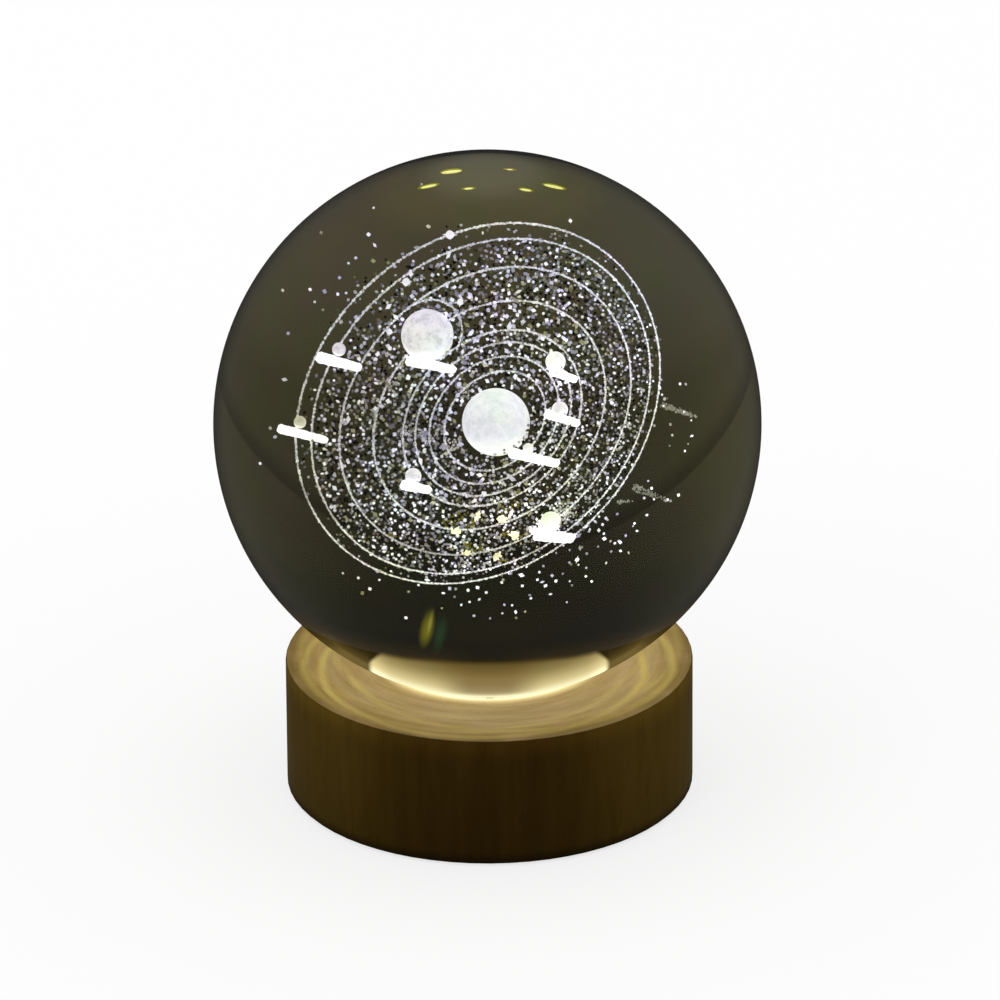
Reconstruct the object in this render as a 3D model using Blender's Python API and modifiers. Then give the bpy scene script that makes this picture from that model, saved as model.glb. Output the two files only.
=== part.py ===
"""Crystal ball lamp: a solid glass ball resting on a round wooden base that holds a ring of LEDs.

The lamp stands on the XY plane, centred on the Z axis, with its power inlet and switch at the back, +Y.
All lengths are in metres. The base is built up from the pad on the table to the ball on its seat, so each
height follows from the pieces below it.
"""

import math

import bmesh
import bpy
from mathutils import Matrix, Vector

# Clearances shared by every joint between two pieces
fit_gap = 0.0003
cut_overrun = 0.001
merge_distance = 0.00001
sharp_angle = math.radians(35)

# Glass ball
ball_diameter = 0.080
ball_segments = 56
ball_rings = 28

# Translucent ring that the ball sits on
seat_ring_outer_radius = 0.0172
seat_ring_width = 0.0042
seat_ring_rim_width = 0.0009
seat_ring_proud = 0.00015
seat_ring_depth = 0.0020

# Turned wooden base
base_diameter = 0.060
base_wall = 0.0085
base_rim_width = 0.0040
base_edge_round = 0.0005
base_edge_steps = 3
base_foot_chamfer = 0.0004
base_steps = 64
well_flare_height = 0.0023
screw_wall = 0.0015

# Underside: soft pad and cover disc
pad_thickness = 0.0008
pad_proud = 0.0003
pad_inset = 0.0004
pad_edge_round = 0.0002
cover_thickness = 0.0015
cover_screw_count = 3
cover_screw_first_angle = math.radians(30)
round_steps = 48

# LEDs and their board
led_count = 6
led_length = 0.0030
led_width = 0.0028
led_height = 0.0008
led_bevel = 0.00012
led_ring_radius = 0.0070
led_margin = 0.0015
led_to_ball_height = 0.00485
led_board_thickness = 0.0010
led_board_edge = 0.0019
resistor_count = 3
resistor_length = 0.0020
resistor_width = 0.0012
resistor_height = 0.0006
resistor_bevel = 0.0001
resistor_ring_radius = 0.0032

# Power inlet at the back
inlet_width = 0.0089
inlet_height = 0.0032
inlet_depth = 0.0093
inlet_wall = 0.00035
inlet_back_wall = 0.0008
inlet_core_depth = 0.0020
tongue_width = 0.0064
tongue_thickness = 0.0007
tongue_reach = 0.0045

# Switch at the back
switch_width = 0.0060
switch_height = 0.0034
switch_depth = 0.0056
switch_bevel = 0.0002
switch_travel = 0.0015
stem_radius = 0.0010
stem_engagement = 0.0010
cap_radius = 0.0020
cap_proud = 0.0020
cap_inner_length = 0.0008
cap_round = 0.0004
cap_steps = 24

# Board that carries the inlet and the switch, and the panel in front of them
inlet_board_thickness = 0.0010
inlet_board_margin = 0.0005
inlet_board_tail = 0.0022
rear_gap = 0.0025
rear_slot_margin = 0.0009
rear_recess_depth = 0.0060
rear_recess_floor_wall = 0.0008
panel_height = 0.0062
panel_thickness = 0.0012
panel_seat_width = 0.0006
panel_screw_wall = 0.0010
oblong_arc_steps = 8

# Small wood screws
screw_head_radius = 0.0015
screw_head_height = 0.0010
screw_head_round = 0.0003
screw_shank_radius = 0.0008
screw_point_length = 0.0008
screw_drive_length = 0.0016
screw_drive_width = 0.0004
screw_drive_depth = 0.0005
board_screw_length = 0.0036
panel_screw_length = 0.0048
cover_screw_length = 0.0055
countersink_radius = 0.0018
screw_steps = 16

# Leads between the two boards
lead_radius = 0.0005
lead_pitch = 0.0025
lead_sag = 0.0022
lead_inset = 0.0012
lead_reach = 0.0070
lead_points = 14

# Radii that follow from the sizes above
ball_radius = ball_diameter / 2
base_radius = base_diameter / 2
pocket_radius = base_radius - base_wall
cover_recess_radius = base_radius - base_rim_width
cover_radius = cover_recess_radius - fit_gap
cover_screw_radius = (pocket_radius + cover_recess_radius) / 2
pad_radius = cover_radius - pad_inset
seat_ring_inner_radius = seat_ring_outer_radius - seat_ring_width
seat_recess_radius = seat_ring_outer_radius + fit_gap
well_radius = led_ring_radius + led_length / 2 + led_margin
well_flare_radius = seat_ring_inner_radius + fit_gap
pilot_radius = screw_shank_radius + fit_gap
led_screw_radius = well_radius + screw_wall + pilot_radius
led_board_radius = led_screw_radius + led_board_edge
led_recess_radius = led_board_radius + fit_gap

# The ball touches the seat half way along the ring's sloping face, less the gap
seat_edge_radius = seat_ring_outer_radius - seat_ring_rim_width
seat_touch_radius = (seat_edge_radius + seat_ring_inner_radius) / 2
seat_reach = math.sqrt((ball_radius + fit_gap) ** 2 - seat_touch_radius ** 2)
seat_slope = seat_touch_radius / seat_reach
ball_height_over_wood = seat_ring_proud - seat_slope * (seat_edge_radius - seat_touch_radius) + seat_reach

# Heights, from the table upwards
wood_bottom = pad_proud
cover_bottom = pad_thickness + fit_gap
cover_top = cover_bottom + cover_thickness
cover_ledge = cover_top + fit_gap
rear_recess_height = panel_height + 2 * fit_gap
inlet_centre_height = cover_ledge + rear_recess_floor_wall + rear_recess_height / 2
inlet_board_bottom = inlet_centre_height + inlet_height / 2 + fit_gap
inlet_board_top = inlet_board_bottom + inlet_board_thickness
pocket_ceiling = inlet_board_top + fit_gap
led_board_top = pocket_ceiling + led_board_thickness
led_recess_ceiling = led_board_top + fit_gap
led_bottom = led_board_top + fit_gap
led_top = led_bottom + led_height
ball_bottom = led_top + led_to_ball_height
ball_centre_height = ball_bottom + ball_radius
wood_top = ball_centre_height - ball_height_over_wood
seat_ledge = wood_top - seat_ring_depth - fit_gap

# Layout of the back: the inlet and the switch side by side, centred, with a panel screw on each side
rear_group_width = inlet_width + rear_gap + switch_width
inlet_x = (inlet_width - rear_group_width) / 2
switch_x = (rear_group_width - switch_width) / 2
switch_centre_height = inlet_board_bottom - fit_gap - switch_height / 2
rear_slot_length = rear_group_width + 2 * rear_slot_margin
panel_screw_x = rear_slot_length / 2 + panel_screw_wall + pilot_radius
panel_length = 2 * panel_screw_x + panel_height
panel_front = base_radius - rear_recess_depth
panel_back = panel_front - panel_thickness
recess_floor = panel_back - fit_gap
inlet_back = panel_front - inlet_depth
inlet_board_width = rear_group_width + 2 * inlet_board_margin
inlet_board_front = math.sqrt((pocket_radius - fit_gap) ** 2 - (inlet_board_width / 2) ** 2)
inlet_board_back = inlet_back - inlet_board_tail
switch_front = inlet_board_front
stem_end = switch_front - stem_engagement
cap_back = panel_back - cap_inner_length
cap_front = panel_front + cap_proud


def clear_scene():
    """Remove every object that the file opened with."""
    for thing in list(bpy.data.objects):
        bpy.data.objects.remove(thing, do_unlink=True)


def new_collection(name):
    """Make a collection under the scene's own."""
    collection = bpy.data.collections.new(name)
    bpy.context.scene.collection.children.link(collection)
    return collection


def make_material(name, colour, roughness, metallic=0.0, transmission=0.0):
    """Make a Principled material from plain values."""
    material = bpy.data.materials.new(name)
    material.use_nodes = True
    shader = material.node_tree.nodes["Principled BSDF"]
    shader.inputs["Base Color"].default_value = (*colour, 1.0)
    shader.inputs["Roughness"].default_value = roughness
    shader.inputs["Metallic"].default_value = metallic
    shader.inputs["Transmission Weight"].default_value = transmission
    material.diffuse_color = (*colour, 1.0)
    return material


def add_object(name, mesh, collection, material=None, location=(0, 0, 0), parent=None):
    """Put a mesh in the scene as a named object, held by its parent where it has one."""
    thing = bpy.data.objects.new(name, mesh)
    thing.location = location
    collection.objects.link(thing)
    if material is not None:
        mesh.materials.clear()
        mesh.materials.append(material)
    if parent is not None:
        thing.parent = parent
        thing.matrix_parent_inverse = parent.matrix_basis.inverted()
    return thing


def baked_mesh(thing):
    """Give the mesh that an object shows, its modifiers applied, and remove the object."""
    bpy.context.view_layer.update()
    seen = thing.evaluated_get(bpy.context.evaluated_depsgraph_get())
    mesh = bpy.data.meshes.new_from_object(seen)
    bpy.data.objects.remove(thing, do_unlink=True)
    return mesh


def weld(mesh):
    """Join the doubled points of a mesh."""
    shape = bmesh.new()
    shape.from_mesh(mesh)
    bmesh.ops.remove_doubles(shape, verts=shape.verts, dist=merge_distance)
    shape.to_mesh(mesh)
    shape.free()


def smooth(mesh):
    """Shade round surfaces smooth and keep the real edges sharp."""
    mesh.shade_smooth()
    mesh.set_sharp_from_angle(angle=sharp_angle)


def turned_mesh(name, profile, steps, ring=False):
    """Turn a profile of (radius, height) points about Z. A ring's profile is closed on itself."""
    outline = bpy.data.meshes.new(name)
    points = [(radius, 0, height) for radius, height in profile]
    edges = [(index, index + 1) for index in range(len(points) - 1)]
    if ring:
        edges.append((len(points) - 1, 0))
    outline.from_pydata(points, edges, [])
    blank = bpy.data.objects.new(name, outline)
    bpy.context.scene.collection.objects.link(blank)
    screw = blank.modifiers.new("turn", "SCREW")
    screw.axis = "Z"
    screw.angle = math.tau
    screw.steps = steps
    screw.render_steps = steps
    screw.use_merge_vertices = True
    screw.merge_threshold = merge_distance
    mesh = baked_mesh(blank)
    weld(mesh)
    smooth(mesh)
    return mesh


def box_mesh(name, size, bevel=0):
    """Make a box centred on its origin, its edges bevelled where a bevel is given."""
    shape = bmesh.new()
    bmesh.ops.create_cube(shape, size=1)
    bmesh.ops.scale(shape, vec=Vector(size), verts=shape.verts)
    if bevel:
        bmesh.ops.bevel(shape, geom=shape.edges[:], offset=bevel, segments=1, affect="EDGES")
    mesh = bpy.data.meshes.new(name)
    shape.to_mesh(mesh)
    shape.free()
    return mesh


def cylinder_mesh(name, radius, length, steps):
    """Make a closed cylinder along Z, standing on its origin."""
    shape = bmesh.new()
    bmesh.ops.create_cone(
        shape,
        cap_ends=True,
        segments=steps,
        radius1=radius,
        radius2=radius,
        depth=length,
        matrix=Matrix.Translation((0, 0, length / 2)),
    )
    mesh = bpy.data.meshes.new(name)
    shape.to_mesh(mesh)
    shape.free()
    smooth(mesh)
    return mesh


def oblong_outline(length, height):
    """Give the points of an oblong with round ends, centred on its origin."""
    radius = height / 2
    straight = length / 2 - radius
    points = []
    for side, start in ((straight, -math.pi / 2), (-straight, math.pi / 2)):
        for step in range(oblong_arc_steps + 1):
            angle = start + math.pi * step / oblong_arc_steps
            points.append((side + radius * math.cos(angle), radius * math.sin(angle)))
    return points


def plate_mesh(name, outline, thickness):
    """Fill a flat outline in XY and give it a thickness, half to each side."""
    curve = bpy.data.curves.new(name, "CURVE")
    curve.dimensions = "2D"
    curve.fill_mode = "BOTH"
    curve.extrude = thickness / 2
    spline = curve.splines.new("POLY")
    spline.points.add(len(outline) - 1)
    for point, (across, up) in zip(spline.points, outline):
        point.co = (across, up, 0, 1)
    spline.use_cyclic_u = True
    blank = bpy.data.objects.new(name, curve)
    bpy.context.scene.collection.objects.link(blank)
    mesh = baked_mesh(blank)
    weld(mesh)
    return mesh


def rear_plate_mesh(name, length, height, front, back):
    """Make an oblong plate that faces the back of the lamp, from one Y to another."""
    mesh = plate_mesh(name, oblong_outline(length, height), front - back)
    mesh.transform(Matrix.Rotation(math.pi / 2, 4, "X"))
    mesh.transform(Matrix.Translation((0, (front + back) / 2, 0)))
    return mesh


def combine(target, mesh, cutters, operation, location=(0, 0, 0), turn=0):
    """Cut a shape out of an object, or join it on, with a Boolean modifier."""
    guide = bpy.data.objects.new(f"{target.name}_guide_{len(target.modifiers) + 1}", mesh)
    guide.location = location
    guide.rotation_euler = (turn, 0, 0)
    guide.hide_render = True
    guide.display_type = "WIRE"
    cutters.objects.link(guide)
    boolean = target.modifiers.new(operation.lower(), "BOOLEAN")
    boolean.operation = operation
    boolean.solver = "EXACT"
    boolean.object = guide


def cut(target, mesh, cutters, location=(0, 0, 0), turn=0):
    """Cut a shape out of an object."""
    combine(target, mesh, cutters, "DIFFERENCE", location, turn)


def on_ring(radius, index, count, first_angle=0):
    """Give the X and Y of one of several places spread evenly on a circle."""
    angle = first_angle + math.tau * index / count
    return radius * math.cos(angle), radius * math.sin(angle)


def cover_screw_places():
    """Give the places of the cover's screws."""
    return [
        on_ring(cover_screw_radius, index, cover_screw_count, cover_screw_first_angle)
        for index in range(cover_screw_count)
    ]


def led_screw_places():
    """Give the places of the LED board's two screws, left and right."""
    return [(led_screw_radius, 0), (-led_screw_radius, 0)]


def panel_screw_places():
    """Give the places of the panel's two screws, one in each round end."""
    return [(-panel_screw_x, inlet_centre_height), (panel_screw_x, inlet_centre_height)]


def make_wood_base(collection, cutters, material, parent):
    """Turn the wooden base: seat on top, light well, board recess and electronics pocket below."""
    corner = base_radius - base_edge_round
    profile = []
    for step in range(base_edge_steps + 1):
        angle = math.pi / 2 * (1 - step / base_edge_steps)
        profile.append(
            (corner + base_edge_round * math.cos(angle), wood_top - base_edge_round * (1 - math.sin(angle)))
        )
    profile += [
        (base_radius, wood_bottom + base_foot_chamfer),
        (base_radius - base_foot_chamfer, wood_bottom),
        (cover_recess_radius, wood_bottom),
        (cover_recess_radius, cover_ledge),
        (pocket_radius, cover_ledge),
        (pocket_radius, pocket_ceiling),
        (led_recess_radius, pocket_ceiling),
        (led_recess_radius, led_recess_ceiling),
        (well_radius, led_recess_ceiling),
        (well_radius, seat_ledge - well_flare_height),
        (well_flare_radius, seat_ledge),
        (seat_recess_radius, seat_ledge),
        (seat_recess_radius, wood_top),
    ]
    mesh = turned_mesh("wood_base", profile, base_steps, ring=True)
    base = add_object("wood_base", mesh, collection, material, parent=parent)

    recess = rear_plate_mesh(
        "rear_recess", panel_length + 2 * fit_gap, rear_recess_height, base_radius + cut_overrun, recess_floor
    )
    cut(base, recess, cutters, (0, 0, inlet_centre_height))
    slot = rear_plate_mesh(
        "rear_slot",
        rear_slot_length,
        panel_height - 2 * panel_seat_width,
        recess_floor + cut_overrun,
        inlet_back,
    )
    cut(base, slot, cutters, (0, 0, inlet_centre_height))

    cover_hole = cylinder_mesh(
        "cover_pilot", pilot_radius, cover_bottom + cover_screw_length + fit_gap - cover_top, screw_steps
    )
    for x, y in cover_screw_places():
        cut(base, cover_hole, cutters, (x, y, cover_top))
    board_hole = cylinder_mesh("board_pilot", pilot_radius, board_screw_length + cut_overrun, screw_steps)
    for x, y in led_screw_places():
        cut(base, board_hole, cutters, (x, y, pocket_ceiling - cut_overrun))
    panel_hole = cylinder_mesh("panel_pilot", pilot_radius, panel_screw_length + cut_overrun, screw_steps)
    for x, z in panel_screw_places():
        cut(base, panel_hole, cutters, (x, panel_front + cut_overrun, z), math.pi / 2)
    return base


def make_seat_ring(collection, material, parent):
    """Turn the translucent ring, whose sloping inner face carries the ball."""
    top = wood_top + seat_ring_proud
    bottom = wood_top - seat_ring_depth
    inner_top = top - seat_slope * (seat_edge_radius - seat_ring_inner_radius)
    profile = [
        (seat_ring_outer_radius, top),
        (seat_ring_outer_radius, bottom),
        (seat_ring_inner_radius, bottom),
        (seat_ring_inner_radius, inner_top),
        (seat_edge_radius, top),
    ]
    mesh = turned_mesh("seat_ring", profile, base_steps, ring=True)
    return add_object("seat_ring", mesh, collection, material, parent=parent)


def make_ball(collection, material, parent):
    """Make the solid glass ball about its own centre."""
    shape = bmesh.new()
    bmesh.ops.create_uvsphere(shape, u_segments=ball_segments, v_segments=ball_rings, radius=ball_radius)
    mesh = bpy.data.meshes.new("crystal_ball")
    shape.to_mesh(mesh)
    shape.free()
    smooth(mesh)
    return add_object("crystal_ball", mesh, collection, material, (0, 0, ball_centre_height), parent)


def make_led_board(collection, cutters, material, parent):
    """Make the round board that closes the light well from below."""
    mesh = cylinder_mesh("led_board", led_board_radius, led_board_thickness, round_steps)
    board = add_object("led_board", mesh, collection, material, (0, 0, pocket_ceiling), parent)
    through = led_board_thickness + 2 * cut_overrun
    hole = cylinder_mesh("led_board_hole", pilot_radius, through, screw_steps)
    for x, y in led_screw_places():
        cut(board, hole, cutters, (x, y, pocket_ceiling - cut_overrun))
    return board


def make_ring_of_parts(stem, mesh, count, radius, height, collection, material, parent):
    """Stand equal small parts on the LED board, evenly round a circle and facing outwards."""
    for index in range(count):
        x, y = on_ring(radius, index, count, math.pi / 2)
        part = add_object(f"{stem}_{index + 1}", mesh, collection, material, (x, y, height), parent)
        part.rotation_euler = (0, 0, math.atan2(y, x))


def cross_outline(length, width):
    """Give the points of an upright cross, for a screw's driver."""
    arm = length / 2
    side = width / 2
    quarter = [(arm, -side), (arm, side), (side, side)]
    points = []
    for turn in range(4):
        rotation = Matrix.Rotation(turn * math.pi / 2, 2)
        points += [tuple(rotation @ Vector(corner)) for corner in quarter]
    return points


def screw_mesh(name, head_profile, length, cutters):
    """Make a wood screw that points up, from the profile of its head, with its origin under the head."""
    profile = [
        (0, length),
        (screw_shank_radius, length - screw_point_length),
        (screw_shank_radius, screw_head_height),
        *head_profile,
        (0, 0),
    ]
    blank = add_object(name, turned_mesh(name, profile, screw_steps), cutters)
    cross = cross_outline(screw_drive_length, screw_drive_width)
    drive = plate_mesh(f"{name}_drive", cross, screw_drive_depth * 2)
    cut(blank, drive, cutters)
    return baked_mesh(blank)


def pan_screw_mesh(name, length, cutters):
    """Make a pan-headed screw, as it holds a board or a panel. Its length is counted from under the head."""
    head = [
        (screw_head_radius, screw_head_height),
        (screw_head_radius, screw_head_round),
        (screw_head_radius - screw_head_round, 0),
    ]
    return screw_mesh(name, head, screw_head_height + length, cutters)


def countersunk_screw_mesh(name, length, cutters):
    """Make a countersunk screw, as it holds the cover. Its length is its whole length."""
    head = [(countersink_radius, 0)]
    return screw_mesh(name, head, length, cutters)


def make_screws(collection, cutters, material, parent):
    """Put in the screws of the LED board, the rear panel and the cover."""
    board_screw = pan_screw_mesh("board_screw", board_screw_length, cutters)
    for index, (x, y) in enumerate(led_screw_places()):
        place = (x, y, pocket_ceiling - fit_gap - screw_head_height)
        add_object(f"led_board_screw_{index + 1}", board_screw, collection, material, place, parent)
    panel_screw = pan_screw_mesh("panel_screw", panel_screw_length, cutters)
    panel_screw.transform(Matrix.Rotation(math.pi / 2, 4, "X"))
    for index, (x, z) in enumerate(panel_screw_places()):
        place = (x, panel_front + fit_gap + screw_head_height, z)
        add_object(f"panel_screw_{index + 1}", panel_screw, collection, material, place, parent)
    cover_screw = countersunk_screw_mesh("cover_screw", cover_screw_length, cutters)
    for index, (x, y) in enumerate(cover_screw_places()):
        place = (x, y, cover_bottom)
        add_object(f"cover_screw_{index + 1}", cover_screw, collection, material, place, parent)


def make_inlet(collection, cutters, shell_material, core_material, parent):
    """Make the inlet's metal shell, open to the back, and the plastic core with its tongue."""
    place = (inlet_x, 0, inlet_centre_height)
    shell_mesh = rear_plate_mesh("power_inlet_shell", inlet_width, inlet_height, panel_front, inlet_back)
    shell = add_object("power_inlet_shell", shell_mesh, collection, shell_material, place, parent)
    hollow = rear_plate_mesh(
        "inlet_hollow",
        inlet_width - 2 * inlet_wall,
        inlet_height - 2 * inlet_wall,
        panel_front + cut_overrun,
        inlet_back + inlet_back_wall,
    )
    cut(shell, hollow, cutters, place)

    core_back = inlet_back + inlet_back_wall + fit_gap
    core_front = core_back + inlet_core_depth
    core_mesh = rear_plate_mesh(
        "power_inlet_core",
        inlet_width - 2 * (inlet_wall + fit_gap),
        inlet_height - 2 * (inlet_wall + fit_gap),
        core_front,
        core_back,
    )
    core = add_object("power_inlet_core", core_mesh, collection, core_material, place, parent)
    tongue = box_mesh("inlet_tongue", (tongue_width, tongue_reach + cut_overrun, tongue_thickness))
    tongue_y = core_front + (tongue_reach - cut_overrun) / 2
    combine(core, tongue, cutters, "UNION", (inlet_x, tongue_y, inlet_centre_height))


def make_inlet_board(collection, material, parent):
    """Make the small board under the pocket's ceiling that the inlet and the switch hang from."""
    depth = inlet_board_front - inlet_board_back
    mesh = box_mesh("inlet_board", (inlet_board_width, depth, inlet_board_thickness))
    place = (0, inlet_board_back + depth / 2, inlet_board_bottom + inlet_board_thickness / 2)
    add_object("inlet_board", mesh, collection, material, place, parent)


def make_rear_panel(collection, cutters, material, parent):
    """Make the oblong panel round the inlet and the button, held by a screw at each end."""
    mesh = rear_plate_mesh("rear_panel", panel_length, panel_height, panel_front, panel_back)
    panel = add_object("rear_panel", mesh, collection, material, (0, 0, inlet_centre_height), parent)
    window = rear_plate_mesh(
        "inlet_window",
        inlet_width + 2 * fit_gap,
        inlet_height + 2 * fit_gap,
        panel_front + cut_overrun,
        panel_back - cut_overrun,
    )
    cut(panel, window, cutters, (inlet_x, 0, inlet_centre_height))
    through = panel_thickness + 2 * cut_overrun
    hole = cylinder_mesh("button_hole", cap_radius + fit_gap, through, cap_steps)
    cut(panel, hole, cutters, (switch_x, panel_front + cut_overrun, switch_centre_height), math.pi / 2)
    screw_hole = cylinder_mesh("panel_screw_hole", pilot_radius, through, screw_steps)
    for x, z in panel_screw_places():
        cut(panel, screw_hole, cutters, (x, panel_front + cut_overrun, z), math.pi / 2)


def make_switch(collection, cutters, body_material, cap_material, parent, button_parent):
    """Make the switch's housing, bored for the stem, and the button that slides in it."""
    size = (switch_width, switch_depth, switch_height)
    place = (switch_x, switch_front - switch_depth / 2, switch_centre_height)
    body_mesh = box_mesh("switch_body", size, switch_bevel)
    body = add_object("switch_body", body_mesh, collection, body_material, place, parent)
    bore_depth = stem_engagement + switch_travel + fit_gap
    bore = cylinder_mesh("stem_bore", stem_radius + fit_gap, bore_depth + cut_overrun, screw_steps)
    cut(body, bore, cutters, (switch_x, switch_front + cut_overrun, switch_centre_height), math.pi / 2)

    profile = [
        (0, cap_front),
        (cap_radius - cap_round, cap_front),
        (cap_radius, cap_front - cap_round),
        (cap_radius, cap_back),
        (stem_radius, cap_back),
        (stem_radius, stem_end),
        (0, stem_end),
    ]
    button_mesh = turned_mesh("switch_button", profile, cap_steps)
    button_mesh.transform(Matrix.Rotation(-math.pi / 2, 4, "X"))
    axis = (switch_x, 0, switch_centre_height)
    add_object("switch_button", button_mesh, collection, cap_material, axis, button_parent)


def make_lead(name, x, collection, material, parent):
    """Hang one lead in a loop from the inlet board to the LED board."""
    curve = bpy.data.curves.new(name, "CURVE")
    curve.dimensions = "3D"
    curve.bevel_depth = lead_radius
    curve.bevel_resolution = 2
    curve.use_fill_caps = True
    spline = curve.splines.new("POLY")
    spline.points.add(lead_points - 1)
    start = Vector((x, inlet_board_back + lead_inset, inlet_board_bottom - fit_gap))
    end = Vector((x, lead_reach, pocket_ceiling - fit_gap))
    for index, point in enumerate(spline.points):
        along = index / (lead_points - 1)
        across = (1 - math.cos(math.pi * along)) / 2
        y = start.y + (end.y - start.y) * across
        z = start.z + (end.z - start.z) * along - lead_sag * math.sin(math.pi * along)
        point.co = (x, y, z, 1)
    curve.materials.append(material)
    lead = bpy.data.objects.new(name, curve)
    collection.objects.link(lead)
    lead.parent = parent


def make_cover(collection, cutters, material, parent):
    """Make the disc that closes the underside, countersunk for its screws."""
    mesh = cylinder_mesh("bottom_cover", cover_radius, cover_thickness, round_steps)
    cover = add_object("bottom_cover", mesh, collection, material, (0, 0, cover_bottom), parent)
    slope = (countersink_radius - screw_shank_radius) / screw_head_height
    mouth = countersink_radius + fit_gap + slope * cut_overrun
    profile = [
        (0, cover_thickness + cut_overrun),
        (pilot_radius, cover_thickness + cut_overrun),
        (pilot_radius, screw_head_height),
        (mouth, -cut_overrun),
        (0, -cut_overrun),
    ]
    hole = turned_mesh("cover_screw_hole", profile, screw_steps)
    for x, y in cover_screw_places():
        cut(cover, hole, cutters, (x, y, cover_bottom))


def make_pad(collection, material, parent):
    """Make the soft pad that the lamp stands on."""
    profile = [
        (0, pad_thickness),
        (pad_radius - pad_edge_round, pad_thickness),
        (pad_radius, pad_thickness - pad_edge_round),
        (pad_radius, pad_edge_round),
        (pad_radius - pad_edge_round, 0),
        (0, 0),
    ]
    add_object("base_pad", turned_mesh("base_pad", profile, round_steps), collection, material, parent=parent)


def make_empty(name, collection, location=(0, 0, 0), parent=None):
    """Make an empty that holds the pieces of one moving body."""
    empty = bpy.data.objects.new(name, None)
    empty.location = location
    empty.empty_display_size = seat_ring_outer_radius
    collection.objects.link(empty)
    if parent is not None:
        empty.parent = parent
        empty.matrix_parent_inverse = parent.matrix_basis.inverted()
    return empty


def main():
    """Build the lamp, body by body."""
    clear_scene()
    lamp = new_collection("crystal_ball_lamp")
    cutters = new_collection("cutters")

    walnut = make_material("walnut", (0.035, 0.021, 0.008), 0.55)
    silicone = make_material("silicone", (0.85, 0.80, 0.62), 0.45)
    glass = make_material("smoked_glass", (0.05, 0.05, 0.04), 0.02, transmission=1.0)
    white_board = make_material("white_board", (0.80, 0.80, 0.78), 0.50)
    green_board = make_material("green_board", (0.03, 0.16, 0.07), 0.45)
    phosphor = make_material("phosphor", (0.90, 0.72, 0.25), 0.40)
    ceramic = make_material("ceramic_body", (0.03, 0.03, 0.03), 0.40)
    steel = make_material("steel", (0.60, 0.60, 0.60), 0.30, metallic=1.0)
    black_plastic = make_material("black_plastic", (0.02, 0.02, 0.02), 0.45)
    fibreboard = make_material("fibreboard", (0.10, 0.065, 0.035), 0.75)
    foam = make_material("foam", (0.02, 0.02, 0.02), 0.90)
    red_sleeve = make_material("red_sleeve", (0.50, 0.02, 0.02), 0.40)
    black_sleeve = make_material("black_sleeve", (0.02, 0.02, 0.022), 0.40)

    base_frame = make_empty("base_frame", lamp)
    seat_frame = make_empty("seat_frame", lamp, (0, 0, wood_top), base_frame)
    ball_frame = make_empty("ball_frame", lamp, (0, 0, wood_top), seat_frame)
    button_frame = make_empty("button_frame", lamp, (switch_x, 0, switch_centre_height), base_frame)
    bpy.context.view_layer.update()

    make_wood_base(lamp, cutters, walnut, base_frame)
    make_cover(lamp, cutters, fibreboard, base_frame)
    make_pad(lamp, foam, base_frame)
    make_screws(lamp, cutters, steel, base_frame)

    make_led_board(lamp, cutters, white_board, base_frame)
    led_mesh = box_mesh("led", (led_length, led_width, led_height), led_bevel)
    led_middle = led_bottom + led_height / 2
    make_ring_of_parts("led", led_mesh, led_count, led_ring_radius, led_middle, lamp, phosphor, base_frame)
    resistor_mesh = box_mesh("resistor", (resistor_length, resistor_width, resistor_height), resistor_bevel)
    resistor_middle = led_bottom + resistor_height / 2
    make_ring_of_parts(
        "resistor",
        resistor_mesh,
        resistor_count,
        resistor_ring_radius,
        resistor_middle,
        lamp,
        ceramic,
        base_frame,
    )

    make_inlet_board(lamp, green_board, base_frame)
    make_inlet(lamp, cutters, steel, black_plastic, base_frame)
    make_rear_panel(lamp, cutters, black_plastic, base_frame)
    make_switch(lamp, cutters, black_plastic, black_plastic, base_frame, button_frame)
    make_lead("lead_positive", -lead_pitch / 2, lamp, red_sleeve, base_frame)
    make_lead("lead_negative", lead_pitch / 2, lamp, black_sleeve, base_frame)

    make_seat_ring(lamp, silicone, seat_frame)
    make_ball(lamp, glass, ball_frame)


main()
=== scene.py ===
"""Dress the crystal ball lamp: smoked glass ball, engraving inside it, and the lit wooden base."""

import logging
import math
import random
from dataclasses import dataclass
from enum import Enum

import bmesh
import bpy
from mathutils import Matrix, Quaternion, Vector


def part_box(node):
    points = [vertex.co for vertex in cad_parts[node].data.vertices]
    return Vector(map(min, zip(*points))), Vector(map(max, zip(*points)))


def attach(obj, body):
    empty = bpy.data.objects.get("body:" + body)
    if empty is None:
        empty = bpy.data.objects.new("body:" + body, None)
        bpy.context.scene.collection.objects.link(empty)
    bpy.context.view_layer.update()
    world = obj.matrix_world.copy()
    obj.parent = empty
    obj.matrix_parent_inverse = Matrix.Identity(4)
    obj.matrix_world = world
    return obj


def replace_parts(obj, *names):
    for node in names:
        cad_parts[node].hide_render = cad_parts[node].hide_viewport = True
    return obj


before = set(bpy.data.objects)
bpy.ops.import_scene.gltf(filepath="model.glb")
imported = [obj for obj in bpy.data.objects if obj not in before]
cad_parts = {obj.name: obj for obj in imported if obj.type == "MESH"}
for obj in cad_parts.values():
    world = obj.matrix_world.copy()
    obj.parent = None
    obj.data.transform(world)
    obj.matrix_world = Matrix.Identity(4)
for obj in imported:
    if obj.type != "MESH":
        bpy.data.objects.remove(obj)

log = logging.getLogger("lamp")

Colour = tuple[float, float, float]
Place = tuple[float, float, float]
Stops = tuple[tuple[float, Colour], ...]
Socket = bpy.types.NodeSocket
Sockets = bpy.types.NodeOutputs
Tree = bpy.types.NodeTree
Node = bpy.types.Node
Material = bpy.types.Material
Mesh = bpy.types.Mesh
Shape = bmesh.types.BMesh

MM = 0.001
FIT_GAP = 0.3 * MM
WHITE = (1.0, 1.0, 1.0)


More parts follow.
